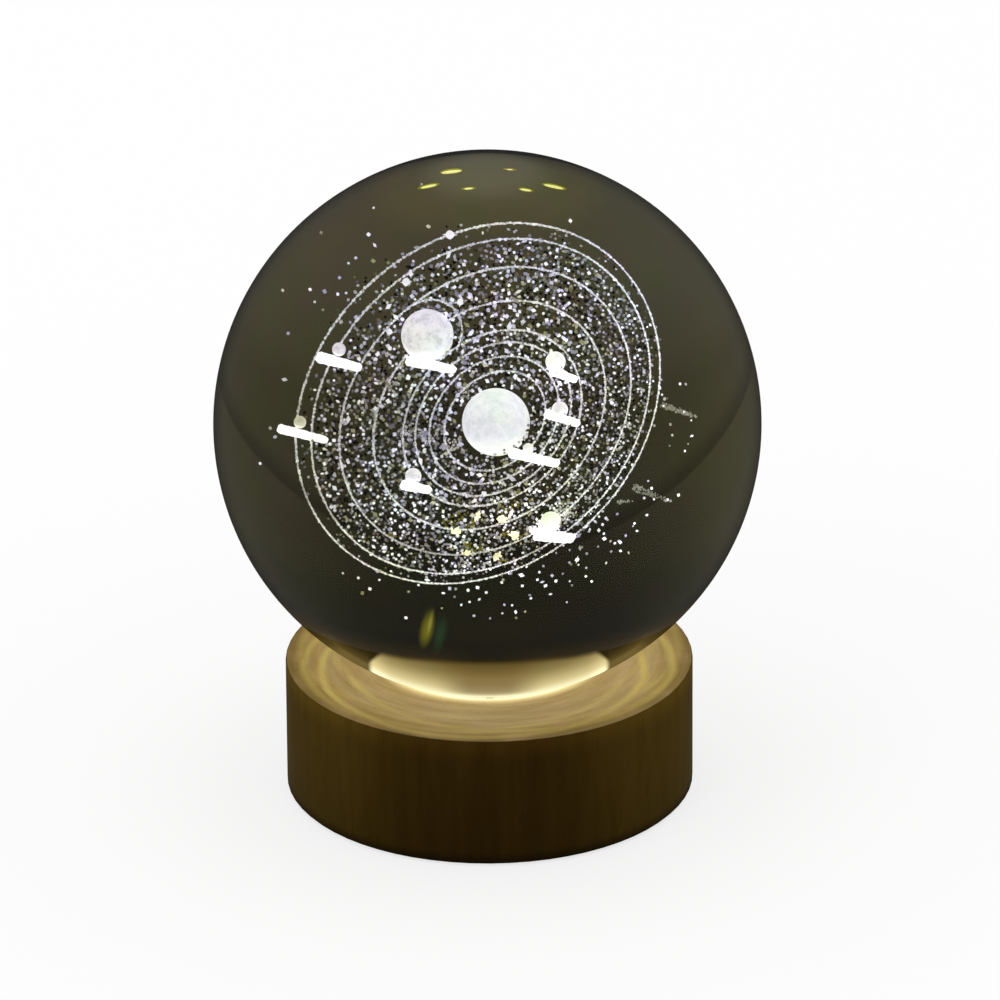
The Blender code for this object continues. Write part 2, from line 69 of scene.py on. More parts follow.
class Body(Enum):
    """The bodies of the model that a piece can ride on."""

    BASE = "base"
    SEAT = "seat"
    BALL = "ball"
    BUTTON = "button"


class Slot(Enum):
    """The record's material slots for the pieces that stand for a solid."""

    WALNUT = "walnut"
    BLACK_PLASTIC = "black_plastic"
    SILICONE = "silicone"
    GLASS = "smoked_glass"


class NodeBench:
    """A small bench for wiring one node tree."""

    def __init__(self, tree: Tree) -> None:
        """Take up a shader or geometry tree."""
        self.tree = tree

    def join(self, source: object, target: Socket) -> None:
        """Feed a socket from another socket, or set it to a plain value.

        Args:
            source: An output socket or a plain value. A colour may come without its alpha.
            target: The input socket.
        """
        if isinstance(source, Socket):
            self.tree.links.new(source, target)
        elif target.type == "RGBA" and len(source) == 3:
            target.default_value = (*source, 1.0)
        else:
            target.default_value = source

    def feed(self, node: Node, values: dict[str | int, object]) -> Node:
        """Feed or set a node's inputs.

        Args:
            node: The node.
            values: What each input gets, by its name or number.

        Returns:
            The node.
        """
        for key, value in values.items():
            self.join(value, node.inputs[key])
        return node

    def add(self, kind: str, values: dict[str | int, object] | None = None, **settings: object) -> Node:
        """Add a node, set its properties and feed its inputs.

        Args:
            kind: The node's type name.
            values: What each input gets, by its name or number.
            **settings: Properties of the node by name.

        Returns:
            The new node.
        """
        node = self.tree.nodes.new(kind)
        for name, value in settings.items():
            setattr(node, name, value)
        return self.feed(node, values or {})

    def maths(self, operation: str, *values: object) -> Socket:
        """Work out a number from up to three sockets or numbers."""
        return self.add("ShaderNodeMath", dict(enumerate(values)), operation=operation).outputs[0]

    def product(self, *values: object) -> Socket:
        """Multiply sockets or numbers, from left to right.

        Args:
            *values: Two or more sockets or numbers.

        Returns:
            The product's socket.
        """
        total = values[0]
        for value in values[1:]:
            total = self.maths("MULTIPLY", total, value)
        return total

    def vector(self, operation: str, *values: object) -> Socket:
        """Work on vectors.

        Args:
            operation: The operation's name.
            *values: Sockets or tuples for the node's inputs in turn.

        Returns:
            The result's socket: a number for a length, else a vector.
        """
        node = self.add("ShaderNodeVectorMath", dict(enumerate(values)), operation=operation)
        return node.outputs["Value" if operation == "LENGTH" else "Vector"]

    def scaled(self, vector: object, by: object) -> Socket:
        """Scale a vector or a colour by a number."""
        return self.add("ShaderNodeVectorMath", {0: vector, "Scale": by}, operation="SCALE").outputs[0]

    def flat(self, coords: object) -> Socket:
        """Take the height out of coordinates."""
        return self.vector("MULTIPLY", coords, (1.0, 1.0, 0.0))

    def split(self, vector: object) -> Sockets:
        """Split a vector into its X, Y and Z."""
        return self.add("ShaderNodeSeparateXYZ", {0: vector}).outputs

    def coords(self) -> Socket:
        """Give the piece's own coordinates, in metres."""
        return self.add("ShaderNodeTexCoord").outputs["Object"]

    def span(self, value: object, low: float, high: float, smooth: bool = True) -> Socket:
        """Turn a value into a mask that runs from 0 at one level to 1 at another.

        Args:
            value: The socket to read.
            low: The level that gives 0.
            high: The level that gives 1.
            smooth: Whether the mask eases in and out.

        Returns:
            The mask's socket.
        """
        values = {"Value": value, "From Min": low, "From Max": high}
        style = "SMOOTHSTEP" if smooth else "LINEAR"
        return self.add("ShaderNodeMapRange", values, interpolation_type=style).outputs["Result"]

    def ramp(self, value: object, stops: Stops) -> Socket:
        """Turn a value into a colour by a ramp of stops.

        Args:
            value: The socket to read, from 0 to 1.
            stops: Each stop's place and colour, in order.

        Returns:
            The colour's socket.
        """
        node = self.add("ShaderNodeValToRGB", {"Fac": value})
        elements = node.color_ramp.elements
        while len(elements) < len(stops):
            elements.new(1.0)
        for element, (place, colour) in zip(elements, stops):
            element.position = place
            element.color = (*colour, 1.0)
        return node.outputs["Color"]

    def blend(self, share: object, first: object, second: object, mode: str = "MIX") -> Socket:
        """Mix two colours.

        Args:
            share: The share of the second colour.
            first: A socket or a colour.
            second: A socket or a colour.
            mode: The blend mode's name.

        Returns:
            The mixed colour's socket.
        """
        values = {0: share, 6: first, 7: second}
        return self.add("ShaderNodeMix", values, data_type="RGBA", blend_type=mode).outputs[2]

    def noise(self, coords: object, scale: object, detail: float = 3.0, rough: float = 0.5) -> Socket:
        """Read a noise pattern.

        Args:
            coords: The socket that gives the place.
            scale: How many repeats there are to the metre.
            detail: How many finer layers it has.
            rough: How strong the finer layers are.

        Returns:
            The socket of the noise's value, about 0.5 on average.
        """
        values = {"Vector": coords, "Scale": scale, "Detail": detail, "Roughness": rough}
        return self.add("ShaderNodeTexNoise", values).outputs["Fac"]


def start_tree(
    name: str, kind: str, inputs: dict[str, str], outputs: dict[str, str]
) -> tuple[NodeBench, Sockets, Node]:
    """Start a node group with named inputs and outputs.

    Args:
        name: The group's name.
        kind: Shader or Geometry.
        inputs: The kind of each input, by its name.
        outputs: The kind of each output, by its name.

    Returns:
        A bench on the group, the sockets of what it is given, and the node that takes its result.
    """
    tree = bpy.data.node_groups.new(name, f"{kind}NodeTree")
    for in_out, sockets in (("INPUT", inputs), ("OUTPUT", outputs)):
        for label, socket in sockets.items():
            tree.interface.new_socket(label, in_out=in_out, socket_type=f"NodeSocket{socket}")
    bench = NodeBench(tree)
    return bench, bench.add("NodeGroupInput").outputs, bench.add("NodeGroupOutput")


def grain_group() -> Tree:
    """Build the node group that gives a surface its fine speckle and its worn gloss.

    Returns:
        The group, with inputs for scale and both ends of colour and roughness.
    """
    name = "fine_speckle"
    if name in bpy.data.node_groups:
        return bpy.data.node_groups[name]
    bench, given, result = start_tree(
        name,
        "Shader",
        {"Scale": "Float", "Dark": "Color", "Light": "Color", "Gloss": "Float", "Matt": "Float"},
        {"Colour": "Color", "Roughness": "Float", "Height": "Float"},
    )
    coords = bench.coords()
    fine = bench.noise(coords, given["Scale"], 4.0)
    broad = bench.span(bench.noise(coords, 160.0), 0.25, 0.75)
    share = bench.maths("MULTIPLY_ADD", bench.maths("SUBTRACT", fine, 0.5), 1.6, broad)
    share = bench.maths("MINIMUM", bench.maths("MAXIMUM", share, 0.0), 1.0)
    spread = bench.maths("SUBTRACT", given["Matt"], given["Gloss"])
    bench.feed(result, {
        "Colour": bench.blend(share, given["Dark"], given["Light"]),
        "Roughness": bench.maths("MULTIPLY_ADD", share, spread, given["Gloss"]),
        "Height": fine,
    })
    return bench.tree


def turning_group() -> Tree:
    """Build the node group that gives turned wood its long grain and its faint tool rings.

    Returns:
        The group, with inputs for the grain's scale and stretch and the spacing of the rings.
    """
    bench, given, result = start_tree(
        "turned_grain",
        "Shader",
        {"Grain Scale": "Float", "Stretch": "Float", "Ring Pitch": "Float"},
        {"Grain": "Float", "Pores": "Float", "Rings": "Float"},
    )
    coords = bench.coords()
    parts = bench.split(coords)
    long_way = bench.add("ShaderNodeCombineXYZ", {
        "X": parts["X"],
        "Y": parts["Y"],
        "Z": bench.maths("MULTIPLY", parts["Z"], given["Stretch"]),
    })
    scaled = bench.scaled(long_way.outputs[0], given["Grain Scale"])
    turns = bench.maths("DIVIDE", bench.vector("LENGTH", bench.flat(coords)), given["Ring Pitch"])
    bench.feed(result, {
        "Grain": bench.noise(scaled, 1.0, 5.0, 0.6),
        "Pores": bench.span(bench.noise(scaled, 5.2, 2.0, 0.7), 0.60, 0.72),
        "Rings": bench.maths("SINE", bench.maths("MULTIPLY", turns, math.tau)),
    })
    return bench.tree


def new_material(name: str) -> tuple[Material, NodeBench, Node]:
    """Start a material with a Principled shader.

    Args:
        name: The material's name.

    Returns:
        The material, a bench on its tree, and its Principled node.
    """
    material = bpy.data.materials.new(name)
    material.use_nodes = True
    return material, NodeBench(material.node_tree), material.node_tree.nodes["Principled BSDF"]


def rough_surface(bench: NodeBench, shader: Node, height: object, depth: float) -> None:
    """Raise a shader's surface by a height pattern.

    Args:
        bench: The bench of the shader's tree.
        shader: The Principled node.
        height: The socket of the height, from 0 to 1.
        depth: How high 1 stands, in metres.
    """
    bump = bench.add("ShaderNodeBump", {"Distance": depth, "Strength": 1.0, "Height": height})
    bench.join(bump.outputs[0], shader.inputs["Normal"])


@dataclass(frozen=True)
class SpeckledFinish:
    """A finish with a fine speckle: moulded plastic, rubber, foam, board, ceramic or metal."""

    name: str
    dark: Colour
    light: Colour
    gloss: float
    matt: float
    speckle: float = 2600.0
    depth: float = 0.00001
    metallic: float = 0.0
    coat: float = 0.0

    def start(self) -> tuple[Material, NodeBench, Node, Sockets]:
        """Start the material with its speckled colour and gloss.

        Returns:
            The material, a bench on its tree, its Principled node and the speckle's sockets.
        """
        material, bench, shader = new_material(self.name)
        values = {
            "Scale": self.speckle,
            "Dark": self.dark,
            "Light": self.light,
            "Gloss": self.gloss,
            "Matt": self.matt,
        }
        speckle = bench.add("ShaderNodeGroup", values, node_tree=grain_group()).outputs
        bench.feed(shader, {"Base Color": speckle["Colour"], "Roughness": speckle["Roughness"]})
        return material, bench, shader, speckle

    def build(self) -> Material:
        """Build the material.

        Returns:
            The material.
        """
        material, bench, shader, speckle = self.start()
        bench.feed(shader, {"Metallic": self.metallic, "Coat Weight": self.coat})
        rough_surface(bench, shader, speckle["Height"], self.depth)
        return material


@dataclass(frozen=True)
class LitPhosphor(SpeckledFinish):
    """The phosphor of an LED that is on."""

    strength: float = 5.0

    def build(self) -> Material:
        """Build the material.

        Returns:
            The material.
        """
        material, bench, shader, speckle = self.start()
        bench.feed(shader, {"Emission Color": speckle["Colour"], "Emission Strength": self.strength})
        return material


@dataclass(frozen=True)
class SeatSilicone(SpeckledFinish):
    """Translucent silicone with the LEDs' light from below painted on as emission, brightest inside."""

    inner_radius: float = 0.0
    outer_radius: float = 1.0

    def build(self) -> Material:
        """Build the material.

        Returns:
            The material.
        """
        material, bench, shader, speckle = self.start()
        radius = bench.vector("LENGTH", bench.flat(bench.coords()))
        # Painted light: the LEDs' light through the silicone, as emission fading outwards.
        painted_glow = bench.ramp(
            bench.span(radius, self.inner_radius, self.outer_radius, smooth=False),
            (
                (0.00, (1.00, 0.93, 0.58)), (0.72, (0.92, 0.83, 0.48)), (0.84, (0.58, 0.48, 0.23)),
                (0.93, (0.40, 0.30, 0.125)), (1.00, (0.36, 0.265, 0.110)),
            ),
        )
        bench.feed(shader, {"Emission Color": painted_glow, "Emission Strength": 1.0})
        rough_surface(bench, shader, speckle["Height"], self.depth)
        return material


@dataclass(frozen=True)
class StainedWood:
    """Dark stained, turned wood with painted light and shade: the LEDs' light on its top painted as emission,
    painted shade and sheen on its side.
    """

    name: str
    top_height: float
    seat_radius: float
    rim_radius: float
    foot_height: float
    ring_radius: float = 23.7 * MM
    ring_width: float = 1.15 * MM
    ring_colour: Colour = (0.500, 0.405, 0.110)
    ring_centres: tuple[Place, ...] = (
        (3.3, -3.0, 0.80), (-0.85, -5.0, 1.00), (-3.5, -3.0, 0.60), (4.2, 2.2, 0.35), (0.4, 4.8, 0.35),
        (-4.1, 2.4, 0.35),
    )

    def build(self) -> Material:
        """Build the material.

        Returns:
            The material.
        """
        material, bench, shader = new_material(self.name)
        coords = bench.coords()
        values = {"Grain Scale": 420.0, "Stretch": 0.10, "Ring Pitch": 0.9 * MM}
        grain = bench.add("ShaderNodeGroup", values, node_tree=turning_group()).outputs
        parts = bench.split(coords)
        height = bench.maths("MULTIPLY_ADD", grain["Rings"], 0.05, grain["Grain"])
        height = bench.maths("MULTIPLY_ADD", grain["Pores"], -0.5, height)
        rough_surface(bench, shader, height, 0.00002)
        bench.feed(shader, {
            "Base Color": self.stain_and_shade(bench, coords, parts, grain),
            "Roughness": bench.maths("MULTIPLY_ADD", grain["Grain"], 0.22, 0.52),
            "Specular IOR Level": 0.003,
            # Painted light: the LEDs' light on the top, as emission.
            "Emission Color": self.painted_glow(bench, coords, parts, grain),
            "Emission Strength": 1.0,
        })
        return material

    def stain_and_shade(self, bench: NodeBench, coords: Socket, parts: Sockets, grain: Sockets) -> Socket:
        """Colour the wood with painted light and shade: faint upright grain, paler towards the sides as end
        grain and painted sheen, painted light under the top edge, painted shade darker towards the foot.

        Args:
            bench: The bench of the material's tree.
            coords: The piece's own coordinates.
            parts: The coordinates split into X, Y and Z.
            grain: The turned grain's sockets.

        Returns:
            The socket of the colour.
        """
        figure = bench.span(grain["Grain"], 0.20, 0.80)
        face = bench.ramp(figure, ((0.0, (0.0195, 0.0100, 0.0014)), (1.0, (0.0290, 0.0155, 0.0028))))
        end = bench.ramp(figure, ((0.0, (0.0440, 0.0262, 0.0036)), (1.0, (0.0580, 0.0360, 0.0060))))
        # Paler towards the sides facing X: partly end grain, partly painted sheen.
        facing = bench.split(bench.vector("NORMALIZE", bench.flat(coords)))
        side_grain_and_sheen = bench.span(bench.maths("ABSOLUTE", facing["X"]), 0.25, 0.95)
        stain_and_shade = bench.blend(side_grain_and_sheen, face, end)
        # Painted shade: darker from the top down to the foot.
        low = bench.span(parts["Z"], self.top_height, self.foot_height)
        stain_and_shade = bench.blend(bench.product(low, 0.14), stain_and_shade, (0.010, 0.0055, 0.0008))
        # Painted light: lighter in the last 5 mm under the top edge.
        painted_top_light = bench.span(parts["Z"], self.top_height - 5.0 * MM, self.top_height - 0.2 * MM)
        stain_and_shade = bench.blend(bench.maths("POWER", painted_top_light, 2.0), stain_and_shade, (1.50, 1.45, 1.25), "MULTIPLY")
        # Painted shadow: much darker in the last 2.2 mm above the foot.
        painted_foot_shadow = bench.span(parts["Z"], self.foot_height + 2.2 * MM, self.foot_height)
        stain_and_shade = bench.blend(bench.product(painted_foot_shadow, 0.75), stain_and_shade, (0.004, 0.003, 0.0015))
        return bench.blend(bench.product(grain["Pores"], 0.25), stain_and_shade, (0.008, 0.005, 0.0015))

    def painted_caustics(self, bench: NodeBench, flat: Socket) -> Socket:
        """Draw one painted ring of LED light for each LED, shifted from the middle towards that LED's far
        side.

        Each ring's centre is given in millimetres, with its strength as the third number.

        Args:
            bench: The bench of the material's tree.
            flat: The coordinates with their height taken out.

        Returns:
            The socket of the rings' strength.
        """
        total = 0.0
        for across, back, strength in self.ring_centres:
            away = bench.vector("LENGTH", bench.vector("SUBTRACT", flat, (across * MM, back * MM, 0.0)))
            off = bench.maths("ABSOLUTE", bench.maths("SUBTRACT", away, self.ring_radius))
            line = bench.product(bench.span(off, self.ring_width, 0.0), strength)
            total = bench.maths("MAXIMUM", total, line)
        return total

    def painted_glow(self, bench: NodeBench, coords: Socket, parts: Sockets, grain: Sockets) -> Socket:
        """Paint the LEDs' light on the wood's top as emission: rings of gold round the seat.

        Args:
            bench: The bench of the material's tree.
            coords: The piece's own coordinates.
            parts: The coordinates split into X, Y and Z.
            grain: The turned grain's sockets.

        Returns:
            The socket of the emitted colour.
        """
        flat = bench.flat(coords)
        radius = bench.vector("LENGTH", flat)
        around = bench.scaled(bench.vector("NORMALIZE", flat), 1.9)
        rise = bench.add("ShaderNodeCombineXYZ", {"Z": bench.maths("DIVIDE", radius, 1.25 * MM)})
        streak = bench.noise(bench.vector("ADD", around, rise.outputs[0]), 1.0, 4.0, 0.62)
        waver = bench.noise(flat, 70.0, 2.0)
        bent = bench.scaled(flat, bench.maths("MULTIPLY_ADD", waver, 0.05, 0.975))
        base = bench.ramp(
            bench.span(radius, self.seat_radius, self.rim_radius, smooth=False),
            (
                (0.00, (0.390, 0.285, 0.118)), (0.20, (0.344, 0.252, 0.115)), (0.52, (0.312, 0.230, 0.103)),
                (0.66, (0.306, 0.221, 0.086)), (0.75, (0.235, 0.167, 0.061)), (0.84, (0.190, 0.134, 0.048)),
                (0.92, (0.166, 0.118, 0.044)), (1.00, (0.122, 0.090, 0.039)),
            ),
        )
        tone = bench.ramp(
            bench.span(streak, 0.28, 0.74),
            ((0.0, (0.84, 0.82, 0.74)), (0.5, (0.99, 0.98, 0.96)), (1.0, (1.16, 1.18, 1.22))),
        )
        base = bench.blend(1.0, base, tone, "MULTIPLY")
        patch = bench.span(bench.noise(flat, 130.0), 0.45, 0.70)
        base = bench.blend(bench.product(patch, 0.30), base, (0.350, 0.240, 0.128))
        # Painted shade: the painted light is dimmer at the left.
        left = bench.span(parts["X"], -10.0 * MM, -20.0 * MM)
        base = bench.blend(left, base, (0.90, 0.89, 0.86), "MULTIPLY")
        # The painted rings are weaker towards the front.
        front = bench.span(parts["Y"], -10.0 * MM, -22.0 * MM)
        rings = bench.product(
            self.painted_caustics(bench, bent),
            0.70,
            bench.maths("MULTIPLY_ADD", streak, 0.9, 0.45),
            bench.maths("MULTIPLY_ADD", front, -0.55, 1.0),
            bench.span(radius, 20.4 * MM, 22.4 * MM),
        )
        base = bench.blend(bench.maths("MINIMUM", rings, 1.0), base, self.ring_colour)
        base = bench.blend(bench.product(grain["Pores"], 0.22), base, (0.10, 0.06, 0.02))
        on_top = bench.span(parts["Z"], self.top_height - 0.22 * MM, self.top_height - 0.10 * MM)
        wall = bench.span(radius, self.seat_radius + 0.20 * MM, self.seat_radius + 0.08 * MM)
        outside = bench.maths("GREATER_THAN", radius, self.seat_radius - 0.2 * MM)
        lit = bench.product(bench.maths("MAXIMUM", on_top, wall), outside)
        return bench.blend(lit, (0.0, 0.0, 0.0), base)


@dataclass(frozen=True)
class Streak:
    """A soft oval of painted light on a ball of radius 1: its place, its reach along each axis and its
    colour.
    """

    place: Place
    size: Place
    colour: Colour


@dataclass(frozen=True)
class SmokedGlass:
    """Clear, dark glass with painted light and shade: emission painted where it meets its lit seat and under
    its top, painted shade in its tint.
    """

    name: str
    centre: Place
    radius: float
    ior: float = 1.5
    density: float = 38.0
    passed: Colour = (0.205, 0.192, 0.100)
    edge_loss: float = 0.92
    shine: float = 0.09
    most_shine: float = 0.02
    band_height: float = 0.240
    band_lean: float = -0.022
    band_curve: float = -0.33
    arc_shade_colour: Colour = (0.18, 0.15, 0.09)
    lobe_reach: float = 0.43
    lobe_edge: float = 0.012
    side_taper: float = 0.41
    painted_haze_colour: Colour = (0.0200, 0.0120, 0.0016)
    painted_crown_colour: Colour = (0.034, 0.034, 0.026)
    streak_lean: float = 0.16
    streaks: tuple[Streak, ...] = (
        Streak((-0.221, -0.883, -0.420), (0.032, 0.25, 0.128), (0.120, 0.110, 0.004)),
        Streak((-0.209, -0.895, -0.385), (0.011, 0.25, 0.085), (0.110, 0.105, 0.020)),
        Streak((-0.174, -0.881, -0.440), (0.030, 0.25, 0.135), (0.005, 0.024, 0.008)),
    )

    def build(self) -> Material:
        """Build the material.

        Returns:
            The material.
        """
        material, bench, shader = new_material(self.name)
        bench.tree.nodes.remove(shader)
        placing = {
            "Vector": bench.coords(),
            "Scale": (1.0 / self.radius,) * 3,
            "Location": tuple(-part / self.radius for part in self.centre),
        }
        unit = bench.add("ShaderNodeMapping", placing).outputs[0]
        parts = bench.split(unit)
        fresnel = bench.add("ShaderNodeFresnel", {"IOR": self.ior}).outputs[0]
        let_in = bench.maths("MULTIPLY_ADD", fresnel, -self.edge_loss, 1.0)
        tint = bench.scaled(self.tint(bench, unit, parts), let_in)
        bend = bench.add("ShaderNodeBsdfRefraction", {"IOR": self.ior, "Roughness": 0.0, "Color": tint})
        mirror = bench.add("ShaderNodeBsdfGlossy", {"Roughness": 0.03, "Color": WHITE})
        front = bench.maths("SUBTRACT", 1.0, bench.add("ShaderNodeNewGeometry").outputs["Backfacing"])
        share = bench.maths("MINIMUM", bench.product(fresnel, self.shine), self.most_shine)
        ways = {0: bench.product(share, front), 1: bend.outputs[0], 2: mirror.outputs[0]}
        surface = bench.add("ShaderNodeMixShader", ways)
        # Painted light: the glass's own emission stands in for the LEDs' light inside it.
        light = {"Color": self.painted_seat_glow(bench, unit, parts), "Strength": 1.0}
        painted_glow = bench.add("ShaderNodeEmission", light)
        both = bench.add("ShaderNodeAddShader", {0: surface.outputs[0], 1: painted_glow.outputs[0]})
        smoke = bench.add("ShaderNodeVolumeAbsorption", {"Color": self.passed, "Density": self.density})
        output = bench.tree.nodes["Material Output"]
        bench.feed(output, {"Surface": both.outputs[0], "Volume": smoke.outputs[0]})
        material.cycles.emission_sampling = "NONE"
        return material

    def tint(self, bench: NodeBench, unit: Socket, parts: Sockets) -> Socket:
        """Colour the light that crosses the surface, with painted light and shade: clearer at the top, darker
        round the seat, lighter at the right, with a painted dark arc across the front.

        Args:
            bench: The bench of the material's tree.
            unit: The place on a ball of radius 1.
            parts: That place split into X, Y and Z.

        Returns:
            The socket of the tint.
        """
        # Painted shade: darker towards the bottom, clearer towards the top.
        tint = bench.ramp(
            bench.span(parts["Z"], -1.0, 1.0, smooth=False),
            (
                (0.000, (0.13, 0.130, 0.115)), (0.205, (0.15, 0.150, 0.128)), (0.225, (0.21, 0.208, 0.170)),
                (0.250, (0.37, 0.360, 0.290)), (0.275, (0.50, 0.485, 0.395)), (0.305, (0.56, 0.540, 0.435)),
                (0.360, (0.69, 0.665, 0.525)), (0.400, (0.78, 0.755, 0.600)), (0.550, (0.75, 0.735, 0.625)),
                (0.700, (0.66, 0.650, 0.575)), (0.760, (0.80, 0.785, 0.745)), (0.880, (0.86, 0.845, 0.830)),
                (0.945, (0.79, 0.775, 0.780)), (0.968, (0.95, 0.930, 0.820)), (1.000, (1.00, 0.980, 0.850)),
            ),
        )
        veil = bench.ramp(
            bench.span(bench.noise(unit, 1.9), 0.32, 0.70),
            ((0.0, (0.93, 0.96, 1.0)), (1.0, (1.0, 0.97, 0.90))),
        )
        cast = bench.ramp(
            bench.span(bench.noise(unit, 6.0, 2.0), 0.34, 0.66),
            ((0.0, (1.0, 0.93, 0.98)), (1.0, (0.95, 1.0, 0.86))),
        )
        # Painted shade: slightly darker at the left.
        lean = bench.ramp(
            bench.span(parts["X"], -1.0, 1.0, smooth=False),
            ((0.0, (0.96, 0.95, 0.92)), (0.5, (0.98, 0.98, 0.97)), (1.0, (1.0, 1.0, 0.97))),
        )
        # Painted light: lighter at the right.
        painted_right_light = bench.span(parts["X"], 0.68, 0.92)
        for share, filter_colour in ((1.0, veil), (0.7, cast), (1.0, lean), (painted_right_light, (1.20, 1.19, 1.15))):
            tint = bench.blend(share, tint, filter_colour, "MULTIPLY")
        # Painted shade: a dark arc across the front.
        width = bench.maths("MINIMUM", bench.maths("MULTIPLY_ADD", parts["Z"], parts["Z"], -1.0), -0.02)
        curve = bench.maths("DIVIDE", bench.product(parts["Y"], parts["Y"]), width)
        level = bench.maths("MULTIPLY_ADD", parts["X"], self.band_lean, parts["Z"])
        level = bench.maths("SUBTRACT", level, self.band_height)
        edge = bench.maths("MULTIPLY_ADD", curve, self.band_curve, level)
        near = bench.span(parts["Y"], 0.05, -0.15)
        painted_arc_shade = bench.product(bench.span(edge, 0.10, 0.0), bench.span(edge, -0.012, 0.0), near, 0.50)
        return bench.blend(painted_arc_shade, tint, self.arc_shade_colour)

    def painted_seat_glow(self, bench: NodeBench, unit: Socket, parts: Sockets) -> Socket:
        """Paint the LEDs' light into the bottom of the ball as emission, in four broad lobes, with a haze, a
        spill and a faint crown under the top.

        Args:
            bench: The bench of the material's tree.
            unit: The place on a ball of radius 1.
            parts: That place split into X, Y and Z.

        Returns:
            The socket of the emitted colour.
        """
        height = parts["Z"]
        across = bench.maths("ABSOLUTE", parts["X"])
        along = bench.maths("ABSOLUTE", parts["Y"])
        least = bench.maths("MINIMUM", across, along)
        most = bench.maths("MAXIMUM", across, along)
        depth = bench.maths("MULTIPLY_ADD", most, 0.914, bench.product(height, 0.407))
        place = bench.span(depth, 0.10, 0.60, smooth=False)
        middle = bench.ramp(
            place,
            (
                (0.00, (1.000, 0.950, 0.600)), (0.09, (0.780, 0.700, 0.410)), (0.15, (0.500, 0.415, 0.225)),
                (0.24, (0.330, 0.262, 0.120)), (0.40, (0.262, 0.190, 0.078)), (0.56, (0.230, 0.158, 0.054)),
                (0.64, (0.180, 0.120, 0.036)), (0.74, (0.120, 0.080, 0.022)), (1.00, (0.080, 0.052, 0.012)),
            ),
        )
        wing = bench.ramp(
            place,
            (
                (0.00, (1.000, 0.950, 0.600)), (0.14, (0.900, 0.810, 0.460)), (0.22, (0.760, 0.665, 0.350)),
                (0.30, (0.640, 0.540, 0.262)), (0.40, (0.520, 0.425, 0.190)), (0.50, (0.370, 0.295, 0.120)),
                (0.60, (0.245, 0.190, 0.068)), (0.68, (0.180, 0.135, 0.044)), (0.76, (0.110, 0.078, 0.024)),
                (1.00, (0.070, 0.048, 0.012)),
            ),
        )
        gold = bench.blend(bench.span(least, 0.06, 0.22), middle, wing)
        raised = bench.maths("ADD", height, bench.product(bench.span(least, 0.38, 0.46), 0.11))
        raised = bench.maths("ADD", raised, bench.product(bench.span(least, 0.18, 0.32), 0.012))
        sideways = bench.maths("GREATER_THAN", across, along)
        drawn_in = bench.maths("MULTIPLY_ADD", height, self.side_taper, self.lobe_reach)
        reached = bench.maths("MULTIPLY_ADD", sideways, drawn_in, least)
        lobe = bench.span(reached, self.lobe_reach + self.lobe_edge, self.lobe_reach - self.lobe_edge)
        ends = bench.maths("MULTIPLY_ADD", bench.span(least, 0.35, 0.42), 0.22, 1.0)
        power = bench.product(lobe, ends, bench.span(raised, -0.565, -0.612))
        spill = bench.maths("MULTIPLY_ADD", bench.span(depth, 0.36, 0.26), 0.060, 0.020)
        spill = bench.maths("MULTIPLY_ADD", bench.span(depth, 0.27, 0.21), 0.080, spill)
        low = bench.span(height, -0.55, -0.62)
        spill = bench.product(spill, low, bench.span(depth, -0.10, 0.20, smooth=False))
        spill = bench.product(spill, bench.maths("SUBTRACT", 1.0, lobe))
        wide = bench.maths("MULTIPLY_ADD", bench.span(across, 0.03, 0.20), 0.55, 0.45)
        lit = bench.scaled(gold, power)
        for colour, share in (
            (self.painted_haze_colour, bench.product(bench.span(height, -0.48, -0.60), wide)),
            (bench.vector("MULTIPLY", wing, (1.0, 0.80, 0.42)), spill),
            (self.painted_crown_colour, bench.span(height, 0.962, 0.996)),
        ):
            lit = bench.vector("ADD", lit, bench.scaled(colour, share))
        return self.painted_prism_streak(bench, unit, lit)

    def painted_prism_streak(self, bench: NodeBench, unit: Socket, lit: Socket) -> Socket:
        """Add a painted highlight: a yellow streak with a green edge, low on the front, as light bent by the
        glass.

        Args:
            bench: The bench of the material's tree.
            unit: The place on a ball of radius 1.
            lit: The rest of the ball's own light.

        Returns:
            The socket of the emitted colour.
        """
        for streak in self.streaks:
            off = bench.vector("SUBTRACT", unit, streak.place)
            lean = bench.vector("CROSS_PRODUCT", off, (0.0, self.streak_lean, 0.0))
            away = bench.vector("LENGTH", bench.vector("DIVIDE", bench.vector("ADD", off, lean), streak.size))
            lit = bench.vector("ADD", lit, bench.scaled(streak.colour, bench.span(away, 1.0, 0.15)))
        return lit


@dataclass(frozen=True)
class EngravedMark:
    """Tiny cracks in the glass, with the light that they catch painted on as emission: each glows in its
    mark's own tint, or in a plain one.
    """

    name: str
    strength: float
    plain: Colour | None = None
    dimmest: float = 0.86

    def build(self) -> Material:
        """Build the material.

        Returns:
            The material.
        """
        material, bench, shader = new_material(self.name)
        if self.plain is None:
            tint = bench.add("ShaderNodeAttribute", attribute_name="tint").outputs["Color"]
        else:
            speck = bench.noise(bench.coords(), 3600.0)
            shade = tuple(part * self.dimmest for part in self.plain)
            tint = bench.blend(bench.span(speck, 0.35, 0.65), shade, self.plain)
        return glowing(material, bench, shader, tint, self.strength, 0.7)


